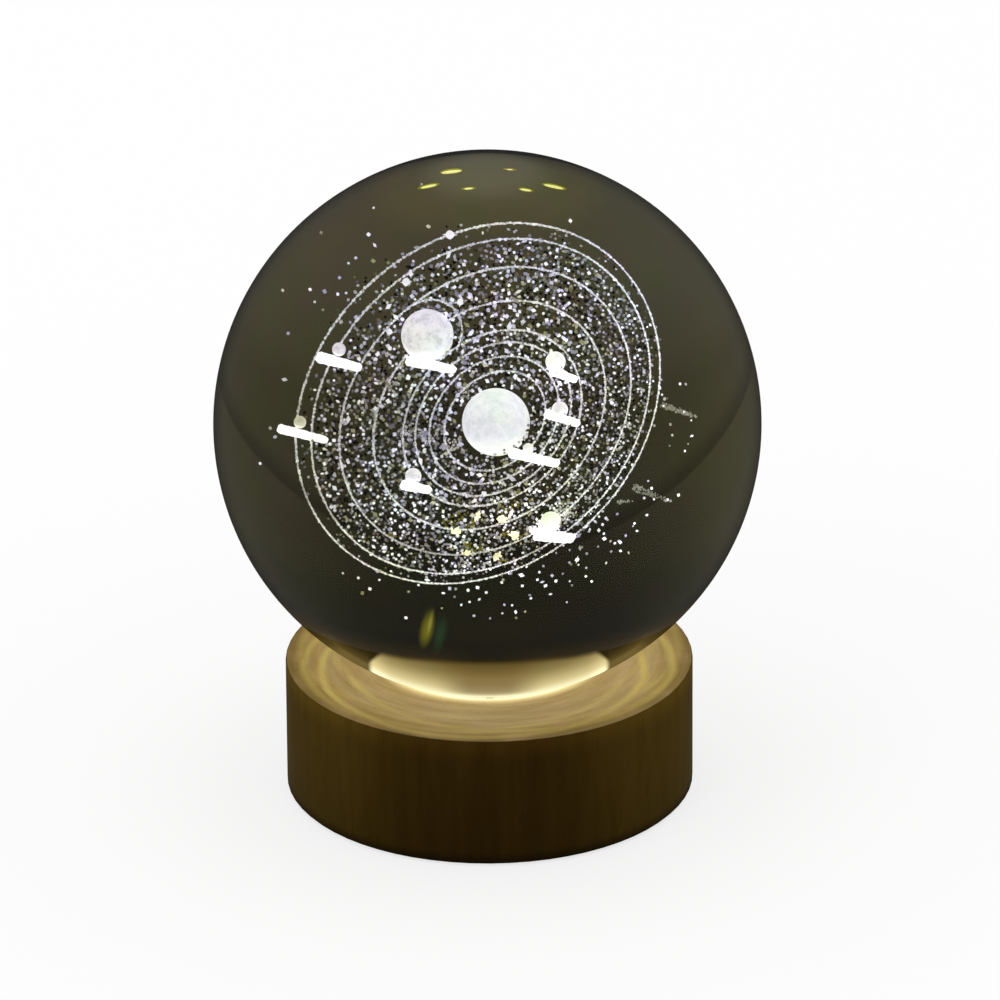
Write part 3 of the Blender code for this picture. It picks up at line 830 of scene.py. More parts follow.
@dataclass(frozen=True)
class FrostedGlobe:
    """A globe engraved as a cloud of cracks, glowing as painted light: softly mottled, and whitened on its
    lower side by a painted underlight.
    """

    name: str
    shade: Colour
    light: Colour
    white: Colour
    low: float
    high: float
    strength: float = 6.2

    def build(self) -> Material:
        """Build the material.

        Returns:
            The material.
        """
        material, bench, shader = new_material(self.name)
        coords = bench.coords()
        blotch = bench.noise(coords, 1150.0, 4.0, 0.62)
        cells = bench.add("ShaderNodeTexVoronoi", {"Vector": coords, "Scale": 4200.0})
        mottled = bench.maths("MULTIPLY_ADD", cells.outputs["Distance"], -0.16, blotch)
        tint = bench.blend(bench.span(mottled, 0.22, 0.58), self.shade, self.light)
        # Painted light: the lower side whitened as if lit from below.
        tint = bench.blend(bench.span(bench.split(coords)["Z"], self.high, self.low), tint, self.white)
        return glowing(material, bench, shader, tint, self.strength, 0.8)


def glowing(
    material: Material,
    bench: NodeBench,
    shader: Node,
    tint: Socket,
    strength: float,
    roughness: float,
) -> Material:
    """Finish a material that glows in one tint: painted light, as emission.

    Args:
        material: The material.
        bench: The bench of its tree.
        shader: Its Principled node.
        tint: The socket of its colour.
        strength: How strongly it glows.
        roughness: How rough it is.

    Returns:
        The material.
    """
    bench.feed(shader, {
        "Base Color": tint,
        "Emission Color": tint,
        "Emission Strength": strength,
        "Roughness": roughness,
        "Specular IOR Level": 0.0,
    })
    material.cycles.emission_sampling = "NONE"
    return material


def add_piece(name: str, mesh: Mesh, body: Body) -> bpy.types.Object:
    """Put a finished mesh in the scene as a piece of the lamp.

    Args:
        name: The piece's name.
        mesh: Its mesh, in place.
        body: The body that it moves with.

    Returns:
        The piece.
    """
    piece = bpy.data.objects.new(name, mesh)
    bpy.context.scene.collection.objects.link(piece)
    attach(piece, body.value)
    log.info("piece %s on %s: %d faces", name, body.value, len(mesh.polygons))
    return piece


def plain_mesh(shape: Shape, name: str) -> Mesh:
    """Turn a bmesh into a mesh, and free it.

    Args:
        shape: The bmesh.
        name: The mesh's name.

    Returns:
        The mesh.
    """
    mesh = bpy.data.meshes.new(name)
    shape.to_mesh(mesh)
    shape.free()
    return mesh


def settle(shape: Shape, name: str, material: Material, smooth: bool) -> Mesh:
    """Turn a bmesh into a mesh with its finish.

    Args:
        shape: The bmesh, which is freed.
        name: The mesh's name.
        material: Its finish.
        smooth: Whether its faces shade smooth.

    Returns:
        The mesh.
    """
    bmesh.ops.recalc_face_normals(shape, faces=shape.faces)
    mesh = plain_mesh(shape, name)
    mesh.materials.append(material)
    mesh.polygons.foreach_set("use_smooth", [smooth] * len(mesh.polygons))
    return mesh


def run_tree(name: str, mesh: Mesh, tree: Tree, values: dict[str, object]) -> Mesh:
    """Run a geometry tree on a mesh and keep the result as a plain mesh.

    Args:
        name: The result's name.
        mesh: The mesh that the tree starts from.
        tree: The geometry tree.
        values: The tree's inputs by name.

    Returns:
        The plain mesh.
    """
    blank = bpy.data.objects.new(f"{name}_blank", mesh)
    bpy.context.scene.collection.objects.link(blank)
    modifier = blank.modifiers.new("make", "NODES")
    modifier.node_group = tree
    for item in tree.interface.items_tree:
        if item.in_out == "INPUT" and item.name in values:
            modifier[item.identifier] = values[item.name]
    blank.update_tag()
    bpy.context.view_layer.update()
    seen = blank.evaluated_get(bpy.context.evaluated_depsgraph_get())
    made = bpy.data.meshes.new_from_object(seen)
    made.name = name
    bpy.data.objects.remove(blank, do_unlink=True)
    return made


def random_number(bench: NodeBench, low: float, high: float, seed: object) -> Socket:
    """Draw a number for each point, between two values, by a seed."""
    values = {2: low, 3: high, "Seed": seed}
    return bench.add("FunctionNodeRandomValue", values, data_type="FLOAT").outputs[1]


def random_vector(bench: NodeBench, reach: object, seed: object) -> Socket:
    """Draw a vector for each point, with each part from minus to plus a reach.

    Args:
        bench: The bench of a geometry tree.
        reach: The socket or number of the reach.
        seed: The socket that seeds it.

    Returns:
        The vector's socket.
    """
    values = {0: (-1.0, -1.0, -1.0), 1: (1.0, 1.0, 1.0), "Seed": seed}
    node = bench.add("FunctionNodeRandomValue", values, data_type="FLOAT_VECTOR")
    return bench.scaled(node.outputs[0], reach)


def mark_points(
    bench: NodeBench,
    points: Node,
    size: Socket,
    tint: Socket,
    given: Sockets,
    result: Node,
) -> Tree:
    """Move each point a little, put one small, tinted mark on it, and end the tree with plain faces.

    Args:
        bench: The bench of a geometry tree.
        points: The node that gives the points.
        size: The radius of each mark, or its half length along each of its axes.
        tint: The colour of each mark.
        given: What the tree is given, with its Shift, Seed and Material.
        result: The node that takes the tree's result.

    Returns:
        The tree.
    """
    shift = random_vector(bench, given["Shift"], given["Seed"])
    moved = bench.add("GeometryNodeSetPosition", {"Geometry": points.outputs["Points"], "Offset": shift})
    dot = bench.add("GeometryNodeMeshUVSphere", {"Segments": 4, "Rings": 2, "Radius": 1.0})
    spread = bench.add("GeometryNodeInstanceOnPoints", {
        "Points": moved.outputs[0],
        "Instance": dot.outputs["Mesh"],
        "Rotation": random_vector(bench, math.pi, given["Seed"]),
        "Scale": size,
    })
    values = {"Geometry": spread.outputs[0], "Name": "tint", "Value": tint}
    store = bench.add("GeometryNodeStoreNamedAttribute", values, data_type="FLOAT_COLOR", domain="INSTANCE")
    real = bench.add("GeometryNodeRealizeInstances", {0: store.outputs[0]})
    values = {"Geometry": real.outputs[0], "Material": given["Material"]}
    bench.feed(result, {"Geometry": bench.add("GeometryNodeSetMaterial", values).outputs[0]})
    return bench.tree


MARK_INPUTS = {
    "Geometry": "Geometry",
    "Gap": "Float",
    "Shift": "Float",
    "Mark Radius": "Float",
    "Seed": "Int",
    "Material": "Material",
}


def dotted_line_tree(tones: Stops) -> Tree:
    """Build the tree that turns lines into rows of tiny marks.

    Args:
        tones: The ramp that each mark's tint is drawn from.

    Returns:
        The tree.
    """
    bench, given, result = start_tree("dotted_line", "Geometry", MARK_INPUTS, {"Geometry": "Geometry"})
    curve = bench.add("GeometryNodeMeshToCurve", {"Mesh": given["Geometry"]})
    values = {"Curve": curve.outputs[0], "Length": given["Gap"]}
    points = bench.add("GeometryNodeCurveToPoints", values, mode="LENGTH")
    size = bench.product(given["Mark Radius"], random_number(bench, 0.65, 1.35, given["Seed"]))
    hue = random_number(bench, 0.0, 1.0, bench.maths("ADD", given["Seed"], 7))
    return mark_points(bench, points, size, bench.ramp(hue, tones), given, result)


def star_tree(name: str, tones: Stops) -> Tree:
    """Build the tree that scatters marks over faces, by the faces' own density and size.

    Args:
        name: The tree's name.
        tones: The ramp that each mark's tint is drawn from.

    Returns:
        The tree.
    """
    inputs = {**MARK_INPUTS, "Most": "Float"}
    bench, given, result = start_tree(name, "Geometry", inputs, {"Geometry": "Geometry"})
    kept = [
        bench.add("GeometryNodeInputNamedAttribute", {"Name": label}, data_type="FLOAT").outputs[0]
        for label in ("density", "grade")
    ]
    points = bench.add(
        "GeometryNodeDistributePointsOnFaces",
        {
            "Mesh": given["Geometry"],
            "Distance Min": given["Gap"],
            "Density Max": given["Most"],
            "Density Factor": bench.maths("DIVIDE", kept[0], given["Most"]),
            "Seed": given["Seed"],
        },
        distribute_method="POISSON",
    )
    drawn, length, hue = (
        random_number(bench, 0.0, 1.0, bench.maths("ADD", given["Seed"], step)) for step in (3, 5, 11)
    )
    size = bench.maths("MULTIPLY_ADD", bench.maths("POWER", drawn, 2.0), 0.50, 0.78)
    size = bench.product(size, kept[1], given["Mark Radius"])
    longer = bench.maths("MULTIPLY_ADD", bench.maths("POWER", length, 5.0), 1.0, 1.0)
    shape = bench.add("ShaderNodeCombineXYZ", {"X": size, "Y": size, "Z": bench.product(size, longer)})
    return mark_points(bench, points, shape.outputs[0], bench.ramp(hue, tones), given, result)


@dataclass(frozen=True)
class Layer:
    """One layer of small marks, with its lengths in millimetres and the tones that it draws from.

    Where a layer is scattered, most is how many marks there may be to the square millimetre, and out is
    how far they stand in front of the drawing's plane.
    """

    name: str
    shift: float
    gap: float
    mark: float
    seed: int
    strength: float
    tones: Stops
    most: float = 0.0
    out: float = 0.0


@dataclass(frozen=True)
class Globe:
    """One engraved globe, with the plain bar beside it. Lengths are in millimetres on the drawing's plane."""

    name: str
    across: float
    up: float
    radius: float
    bar_across: float = 0.0
    bar_up: float = 0.0
    bar_length: float = 0.0
    bar_height: float = 0.95
    bar_turn: float = 0.0


@dataclass(frozen=True)
class Patch:
    """A ring sector of the drawing's plane that stars are scattered over, in millimetres and degrees."""

    inner: float
    outer: float
    start: float
    end: float
    density: float
    grade: float


@dataclass(frozen=True)
class CometEnd:
    """One end of a comet: its place on the drawing, its half width in millimetres and its density."""

    across: float
    up: float
    width: float
    density: float


@dataclass(frozen=True)
class Blot:
    """A ragged patch of cracks: its place on the drawing and its half width and height, in millimetres."""

    across: float
    up: float
    wide: float
    tall: float


@dataclass(frozen=True)
class Glint:
    """A painted reflection of an LED, as a glowing streak under the top of the glass: middle, reach and half
    width in millimetres.
    """

    middle: Place
    reach: Place
    width: float
    core: float


@dataclass
class SolarEngraving:
    """The drawing inside the ball: globes on their orbits, with stars between and round them."""

    centre: Vector
    tilt_azimuth: float = math.radians(-36.6)
    tilt_height: float = math.radians(47.0)
    middle: tuple[float, float] = (0.83, 0.40)
    orbits: tuple[float, ...] = (19.88, 18.45, 15.81, 12.55, 9.65, 8.40, 6.98, 5.45)
    orbit_steps: int = 240
    halo_radius: float = 3.35
    halo_start: float = -5.0
    halo_end: float = 150.0
    sector_step: float = 12.0
    sector_least_steps: int = 4
    cloud_steps: int = 10
    cloud_reach: float = 1.25
    cloud_edge_density: float = 0.15
    cloud_edge_grade: float = 0.9
    bar_depth: float = 0.14
    bar_out: float = 0.3
    bar_step: float = 0.24
    bar_least_steps: int = 8
    bar_waver: tuple[float, float] = (0.91, 1.09)
    bar_seed: int = 21
    blot_out: float = 0.35
    blot_core: float = 0.66
    blot_lumps: int = 8
    lump_away: tuple[float, float] = (0.45, 0.95)
    lump_size: tuple[float, float] = (0.14, 0.36)
    blot_seed: int = 7
    sparkle_out: float = 0.2
    sparkle_core: float = 0.44
    sparkle_width: float = 0.20
    sparkle_seed: int = 3
    underlight_from: float = 0.05
    underlight_to: float = 0.62
    glint_end_width: float = 1.3
    glint_core_width: float = 0.72
    glint_core_shift: Place = (0.0, -1.00, 0.85)
    lines: Layer = Layer(
        "orbits", 0.035, 0.155, 0.132, 4, 4.1,
        ((0.0, (0.36, 0.37, 0.45)), (0.5, (0.58, 0.60, 0.77)), (1.0, (0.76, 0.79, 0.96))),
    )
    stars: Layer = Layer(
        "stars", 0.40, 0.44, 0.192, 12, 6.2,
        (
            (0.00, (0.080, 0.085, 0.040)), (0.12, (0.240, 0.240, 0.190)), (0.22, (0.110, 0.110, 0.170)),
            (0.34, (0.240, 0.245, 0.400)), (0.50, (0.400, 0.410, 0.620)), (0.70, (0.600, 0.630, 0.880)),
            (0.86, (0.700, 0.740, 1.000)), (0.94, (0.400, 0.400, 0.380)), (1.00, (0.220, 0.225, 0.320)),
        ),
        most=7.5,
    )
    dust: Layer = Layer(
        "dust", 0.22, 0.26, 0.184, 31, 5.2,
        (
            (0.00, (0.0020, 0.0020, 0.0024)), (0.36, (0.0040, 0.0040, 0.0050)),
            (0.40, (0.0400, 0.0400, 0.0240)), (0.54, (0.0950, 0.0940, 0.0860)),
            (0.58, (0.0850, 0.0850, 0.1350)), (0.78, (0.1750, 0.1800, 0.2500)),
            (0.93, (0.3200, 0.3300, 0.4200)), (1.00, (0.0900, 0.0560, 0.0300)),
        ),
        most=12.0,
        out=-0.65,
    )
    smears: Layer = Layer(
        "comets", 0.08, 0.09, 0.140, 5, 3.0,
        ((0.0, (0.140, 0.148, 0.150)), (1.0, (0.260, 0.275, 0.275))),
        most=60.0,
    )
    grey_haze: Layer = Layer(
        "grey_haze", 0.12, 0.14, 0.155, 8, 5.6,
        ((0.0, (0.150, 0.152, 0.170)), (1.0, (0.420, 0.425, 0.480))),
        most=40.0,
        out=-0.25,
    )
    olive_haze: Layer = Layer(
        "olive_haze", 0.12, 0.17, 0.180, 9, 4.8,
        ((0.0, (0.045, 0.043, 0.006)), (1.0, (0.150, 0.132, 0.022))),
        most=30.0,
        out=-0.25,
    )
    globes: tuple[Globe, ...] = (
        Globe("sun", 0.83, 0.40, 3.32, 7.46, -2.29, 6.4, 1.02, 0.03),
        Globe("planet_1", 5.90, -1.35, 0.55),
        Globe("planet_2", 7.20, 3.58, 0.84, 8.28, 2.67, 4.6, 0.92),
        Globe("planet_3", 3.96, 8.10, 1.00, 5.90, 7.00, 3.4, 0.86),
        Globe("planet_4", -5.05, -7.25, 0.80, -4.02, -8.50, 3.4, 0.98, 0.03),
        Globe("planet_5", -10.10, 6.41, 2.35, -8.26, 3.82, 5.1, 0.92, 0.10),
        Globe("planet_6", 13.45, -8.90, 1.16, 15.45, -10.80, 5.7, 1.45, 0.05),
        Globe("planet_7", -17.33, 2.72, 0.59, -16.70, 1.52, 4.2, 0.90, 0.04),
        Globe("planet_8", -18.07, -4.72, 0.56, -17.25, -5.93, 4.9, 0.78),
    )
    star_patches: tuple[Patch, ...] = (
        Patch(3.7, 8.3, 0, 360, 6.5, 1.06), Patch(8.3, 12.5, 55, 325, 7.5, 1.10),
        Patch(8.3, 12.5, -35, 55, 6.0, 0.95), Patch(12.6, 15.7, 80, 300, 7.5, 1.04),
        Patch(12.6, 15.7, -60, 80, 5.0, 0.94), Patch(15.9, 18.3, 80, 300, 6.5, 0.92),
        Patch(15.9, 18.3, -60, 80, 3.6, 0.88), Patch(18.6, 19.7, 0, 360, 1.0, 0.85),
        Patch(20.1, 24.0, -62, -14, 1.90, 1.15), Patch(20.1, 23.5, -112, -62, 0.90, 1.10),
        Patch(20.2, 24.0, -14, 28, 0.70, 1.05), Patch(24.0, 29.0, -62, -8, 0.75, 1.15),
        Patch(24.0, 28.0, -90, -62, 0.25, 1.10), Patch(24.0, 29.0, -8, 20, 0.35, 1.00),
        Patch(29.0, 32.5, -50, 5, 0.20, 1.10), Patch(20.1, 23.2, 143, 166, 1.90, 0.92),
        Patch(20.2, 23.0, 125, 200, 0.40, 0.85), Patch(23.0, 27.0, 130, 195, 0.20, 0.75),
        Patch(20.2, 26.0, 25, 125, 0.030, 0.75), Patch(20.2, 24.0, 200, 275, 0.07, 0.85),
    )
    dust_patches: tuple[Patch, ...] = (
        Patch(3.7, 5.3, 0, 360, 9.0, 0.90), Patch(5.5, 12.5, 0, 360, 11.5, 0.96),
        Patch(12.6, 18.35, 0, 360, 12.0, 1.0), Patch(18.6, 19.75, 0, 360, 3.0, 0.9),
        Patch(20.0, 20.8, 120, 170, 3.0, 0.8),
    )
    comets: tuple[tuple[CometEnd, CometEnd], ...] = (
        (CometEnd(20.1, 7.85, 0.36, 50.0), CometEnd(27.6, 8.3, 0.15, 34.0)),
        (CometEnd(22.4, -2.5, 0.42, 44.0), CometEnd(31.4, -3.25, 0.17, 28.0)),
        (CometEnd(21.3, -4.8, 0.17, 60.0), CometEnd(23.8, -4.15, 0.12, 50.0)),
        (CometEnd(0.39, 14.54, 0.20, 60.0), CometEnd(-3.21, 15.68, 0.06, 40.0)),
    )
    warm_blots: tuple[Blot, ...] = (
        Blot(4.35, -10.18, 0.36, 0.74), Blot(7.37, -9.98, 0.74, 0.54), Blot(2.77, -12.47, 0.90, 0.48),
        Blot(10.03, -11.50, 0.78, 0.56), Blot(5.37, -14.86, 0.54, 0.46), Blot(9.34, -14.55, 0.50, 0.66),
    )
    olive_blots: tuple[Blot, ...] = (
        Blot(1.27, -11.16, 0.95, 0.55), Blot(1.89, -10.31, 0.60, 0.40), Blot(6.76, -8.61, 0.90, 0.55),
        Blot(7.54, -7.72, 0.60, 0.45), Blot(4.66, -13.75, 0.70, 0.50), Blot(6.04, -13.62, 0.60, 0.45),
        Blot(8.58, -11.30, 0.60, 0.45), Blot(10.47, -11.28, 0.75, 0.55), Blot(-4.30, -14.25, 0.60, 0.45),
        Blot(3.70, -11.00, 0.70, 0.55), Blot(10.10, -14.60, 0.70, 0.45),
    )
    grey_blots: tuple[Blot, ...] = (
        Blot(-7.90, -2.85, 0.85, 0.60), Blot(-6.20, -3.10, 1.05, 0.90), Blot(-11.40, 1.20, 1.10, 0.60),
        Blot(-4.96, -1.93, 0.60, 0.50), Blot(14.20, -7.60, 1.60, 1.30), Blot(13.30, -6.60, 1.20, 0.90),
        Blot(4.20, -3.20, 0.55, 0.40), Blot(-2.60, -2.90, 0.90, 0.70), Blot(-3.80, 2.60, 0.60, 0.90),
    )
    white_blots: tuple[Blot, ...] = (
        Blot(8.15, -9.09, 0.22, 0.66), Blot(6.60, -2.00, 0.55, 0.34), Blot(12.10, -10.50, 0.80, 0.55),
        Blot(12.60, -9.50, 0.60, 0.60),
    )
    sparkles: tuple[Place, ...] = (
        (-12.13, 15.37, 0.85), (-14.04, 10.21, 0.80), (-13.95, 11.00, 0.45), (-13.57, 5.57, 0.60),
        (-8.40, 10.28, 0.70), (-1.70, 21.25, 0.36), (20.60, -13.40, 0.55),
    )
    glints: tuple[Glint, ...] = (
        Glint((-4.82, 1.52, 38.00), (1.60, 0.0, 0.14), 0.62, 0.90),
        Glint((3.42, 1.72, 38.10), (0.95, 0.0, -0.05), 0.24, 0.45),
        Glint((-8.01, -2.16, 37.30), (1.55, 0.0, 0.36), 0.42, 0.72),
        Glint((9.67, -2.00, 37.20), (1.75, 0.0, -0.38), 0.46, 0.80),
        Glint((-2.38, -4.42, 37.90), (1.00, 0.0, 0.08), 0.26, 0.62),
        Glint((5.65, -4.30, 37.60), (1.05, 0.0, -0.24), 0.32, 0.72),
    )

    def place(self) -> Matrix:
        """Give the matrix from the drawing's plane to the lamp.

        Returns:
            The matrix. Its third axis stands out of the drawing.
        """
        level = math.cos(self.tilt_height)
        side = math.sin(self.tilt_azimuth) * level
        normal = Vector((side, -math.cos(self.tilt_azimuth) * level, math.sin(self.tilt_height)))
        across = Vector((0, 0, 1)).cross(normal).normalized()
        turn = Matrix((across, normal.cross(across), normal)).transposed().to_4x4()
        return Matrix.Translation(self.centre) @ turn

    def on_plane(self, across: float, up: float, out: float = 0.0) -> Vector:
        """Give a place of the drawing, in millimetres on its plane, as a point of the lamp."""
        return self.place() @ (Vector((across, up, out)) * MM)

    def build(self) -> None:
        """Build the drawing's pieces."""
        self.build_orbits()
        self.build_scatter()
        self.build_comets()
        self.build_globes()
        self.build_bars()
        self.build_blots()
        self.build_sparkles()
        self.build_painted_glints()

    def add_marks(self, layer: Layer, shape: Shape, tree: Tree) -> None:
        """Set a layer's marks along lines or over faces, and add them as a piece.

        Args:
            layer: The layer.
            shape: The lines or faces, which are freed.
            tree: The geometry tree that sets the marks.
        """
        name = f"engraved_{layer.name}"
        values = {
            "Gap": layer.gap * MM,
            "Most": layer.most / MM**2,
            "Shift": layer.shift * MM,
            "Mark Radius": layer.mark * MM,
            "Seed": layer.seed,
            "Material": EngravedMark(f"{layer.name}_marks", layer.strength).build(),
        }
        start = plain_mesh(shape, f"{layer.name}_start")
        add_piece(name, run_tree(name, start, tree, values), Body.BALL)

    def add_shape(
        self, name: str, shape: Shape, finish: EngravedMark | FrostedGlobe, smooth: bool
    ) -> None:
        """Add a shape that has been drawn as a piece.

        Args:
            name: The piece's name.
            shape: The shape, which is freed.
            finish: Its finish.
            smooth: Whether its faces shade smooth.
        """
        add_piece(name, settle(shape, name, finish.build(), smooth), Body.BALL)

    def line(
        self, shape: Shape, middle: tuple[float, float], radius: float, start: float, end: float
    ) -> None:
        """Add an arc of edges, or a whole circle, on the drawing's plane.

        Args:
            shape: The bmesh that it goes into.
            middle: Its middle on the plane, in millimetres.
            radius: Its radius in millimetres.
            start: Where it starts, in degrees.
            end: Where it ends, in degrees.
        """
        steps = self.orbit_steps
        whole = end - start >= 360
        points = []
        for step in range(steps if whole else steps + 1):
            angle = math.radians(start + (end - start) * step / steps)
            spot = self.on_plane(middle[0] + radius * math.cos(angle), middle[1] + radius * math.sin(angle))
            points.append(shape.verts.new(spot))
        for pair in zip(points, points[1:]):
            shape.edges.new(pair)
        if whole:
            shape.edges.new((points[-1], points[0]))

    def build_orbits(self) -> None:
        """Engrave the orbits as rows of marks, with a last arc round the largest planet."""
        shape = bmesh.new()
        for orbit in self.orbits:
            self.line(shape, self.middle, orbit, 0, 360)
        largest = max(self.globes[1:], key=lambda globe: globe.radius)
        centre = (largest.across, largest.up)
        self.line(shape, centre, self.halo_radius, self.halo_start, self.halo_end)
        self.add_marks(self.lines, shape, dotted_line_tree(self.lines.tones))

    def start_sheet(self) -> Shape:
        """Start a sheet of faces whose points carry the density and size of the marks on them.

        Returns:
            The sheet.
        """
        shape = bmesh.new()
        for label in ("density", "grade"):
            shape.verts.layers.float.new(label)
        return shape

    def sheet_point(self, shape: Shape, spot: Vector, density: float, grade: float) -> bmesh.types.BMVert:
        """Add a point to a sheet.

        Args:
            shape: The sheet.
            spot: The point's place.
            density: How many marks there are to the square millimetre.
            grade: How large the marks are, against the layer's own size.

        Returns:
            The point.
        """
        vert = shape.verts.new(spot)
        vert[shape.verts.layers.float["density"]] = density / MM**2
        vert[shape.verts.layers.float["grade"]] = grade
        return vert

    def ring_sector(self, shape: Shape, patch: Patch, out: float) -> None:
        """Add a ring sector to a sheet, in steps of about 12 degrees.

        Args:
            shape: The sheet.
            patch: The ring sector.
            out: How far it stands in front of the drawing's plane, in millimetres.
        """
        steps = max(self.sector_least_steps, int((patch.end - patch.start) / self.sector_step))
        rows = []
        for step in range(steps + 1):
            angle = math.radians(patch.start + (patch.end - patch.start) * step / steps)
            row = []
            for radius in (patch.inner, patch.outer):
                across = self.middle[0] + radius * math.cos(angle)
                spot = self.on_plane(across, self.middle[1] + radius * math.sin(angle), out)
                row.append(self.sheet_point(shape, spot, patch.density, patch.grade))
            rows.append(row)
        for first, second in zip(rows, rows[1:]):
            shape.faces.new((*first, *reversed(second)))

    def scatter(self, shape: Shape, layer: Layer) -> None:
        """Scatter a layer of marks over a sheet, which is freed."""
        self.add_marks(layer, shape, star_tree(f"{layer.name}_scatter", layer.tones))

    def build_scatter(self) -> None:
        """Scatter the stars and the fine marks between them, then the faint clouds."""
        for layer, patches in ((self.stars, self.star_patches), (self.dust, self.dust_patches)):
            shape = self.start_sheet()
            for patch in patches:
                self.ring_sector(shape, patch, layer.out)
            self.scatter(shape, layer)
        for layer, blots in ((self.grey_haze, self.grey_blots), (self.olive_haze, self.olive_blots)):
            shape = self.start_sheet()
            for blot in blots:
                self.cloud(shape, blot, layer)
            self.scatter(shape, layer)

    def cloud(self, shape: Shape, blot: Blot, layer: Layer) -> None:
        """Add a round patch to a sheet, dense in its middle and thin at its edge.

        Args:
            shape: The sheet.
            blot: The patch's place and half width and height.
            layer: The layer that is scattered on it.
        """
        middle = self.sheet_point(shape, self.on_plane(blot.across, blot.up, layer.out), layer.most, 1.0)
        thin = layer.most * self.cloud_edge_density
        edge = []
        for step in range(self.cloud_steps):
            angle = math.tau * step / self.cloud_steps
            across = blot.across + math.cos(angle) * blot.wide * self.cloud_reach
            up = blot.up + math.sin(angle) * blot.tall * self.cloud_reach
            spot = self.on_plane(across, up, layer.out)
            edge.append(self.sheet_point(shape, spot, thin, self.cloud_edge_grade))
        for first, second in zip(edge, edge[1:] + edge[:1]):
            shape.faces.new((middle, first, second))

    def build_comets(self) -> None:
        """Scatter the comets' fine marks, thick at the head and thin at the tail."""
        shape = self.start_sheet()
        for head, tail in self.comets:
            corners = []
            for end, side in ((head, -1), (tail, -1), (tail, 1), (head, 1)):
                spot = self.on_plane(end.across, end.up + side * end.width)
                corners.append(self.sheet_point(shape, spot, end.density, 1.0))
            shape.faces.new(corners)
        self.scatter(shape, self.smears)

    def build_globes(self) -> None:
        """Engrave the globes, each with its own shade, light and white, the white being a painted underlight
        on its lower side.
        """
        bright = (0.78, 0.82, 1.0)
        plain = ((0.52, 0.54, 0.70), (0.70, 0.73, 0.90), bright)
        tones = {
            "sun": ((0.55, 0.60, 0.78), (0.66, 0.71, 0.90), bright),
            "planet_5": ((0.46, 0.475, 0.62), (0.66, 0.68, 0.86), bright),
            "planet_6": ((0.43, 0.48, 0.50), (0.55, 0.61, 0.64), (0.74, 0.80, 0.88)),
            "planet_7": ((0.40, 0.40, 0.54), (0.58, 0.59, 0.74), (0.70, 0.74, 0.86)),
            "planet_8": ((0.36, 0.38, 0.36), (0.50, 0.52, 0.48), (0.64, 0.67, 0.64)),
        }
        for globe in self.globes:
            spot = self.on_plane(globe.across, globe.up)
            radius = globe.radius * MM
            shape = bmesh.new()
            level = 5 if globe.radius > 2 else 4 if globe.radius > 1 else 3
            matrix = Matrix.Translation(spot)
            bmesh.ops.create_icosphere(shape, subdivisions=level, radius=radius, matrix=matrix)
            # Heights between which the painted underlight whitens the lower side.
            levels = (spot.z - radius * self.underlight_to, spot.z - radius * self.underlight_from)
            finish = FrostedGlobe(f"{globe.name}_frost", *tones.get(globe.name, plain), *levels)
            self.add_shape(f"engraved_{globe.name}", shape, finish, True)

    def lump(self, shape: Shape, blot: Blot, out: float, turn: float = 0.0, thick: float = 0.14) -> None:
        """Add one flat, rounded lump in the drawing's plane.

        Args:
            shape: The bmesh that it goes into.
            blot: Its place and its half width and height.
            out: How far it stands in front of the plane, in millimetres.
            turn: How far it is turned in the plane, in radians.
            thick: Its half thickness in millimetres.
        """
        size = Matrix.Diagonal((blot.wide * MM, blot.tall * MM, thick * MM, 1.0))
        spot = Matrix.Translation(Vector((blot.across, blot.up, out)) * MM)
        matrix = self.place() @ spot @ Matrix.Rotation(turn, 4, "Z") @ size
        bmesh.ops.create_icosphere(shape, subdivisions=2, radius=1.0, matrix=matrix)

    def ragged(self, shape: Shape, blot: Blot, draw: random.Random) -> None:
        """Add a ragged patch: one lump in its middle and smaller ones at its edge.

        Args:
            shape: The bmesh that it goes into.
            blot: The patch.
            draw: The source of its random numbers.
        """
        core = Blot(blot.across, blot.up, blot.wide * self.blot_core, blot.tall * self.blot_core)
        self.lump(shape, core, self.blot_out, draw.uniform(-0.4, 0.4))
        for index in range(self.blot_lumps):
            angle = math.tau * (index + draw.uniform(-0.4, 0.4)) / self.blot_lumps
            small = Blot(
                blot.across + math.cos(angle) * blot.wide * draw.uniform(*self.lump_away),
                blot.up + math.sin(angle) * blot.tall * draw.uniform(*self.lump_away),
                blot.wide * draw.uniform(*self.lump_size),
                blot.tall * draw.uniform(*self.lump_size),
            )
            self.lump(shape, small, self.blot_out, draw.uniform(-1.0, 1.0))

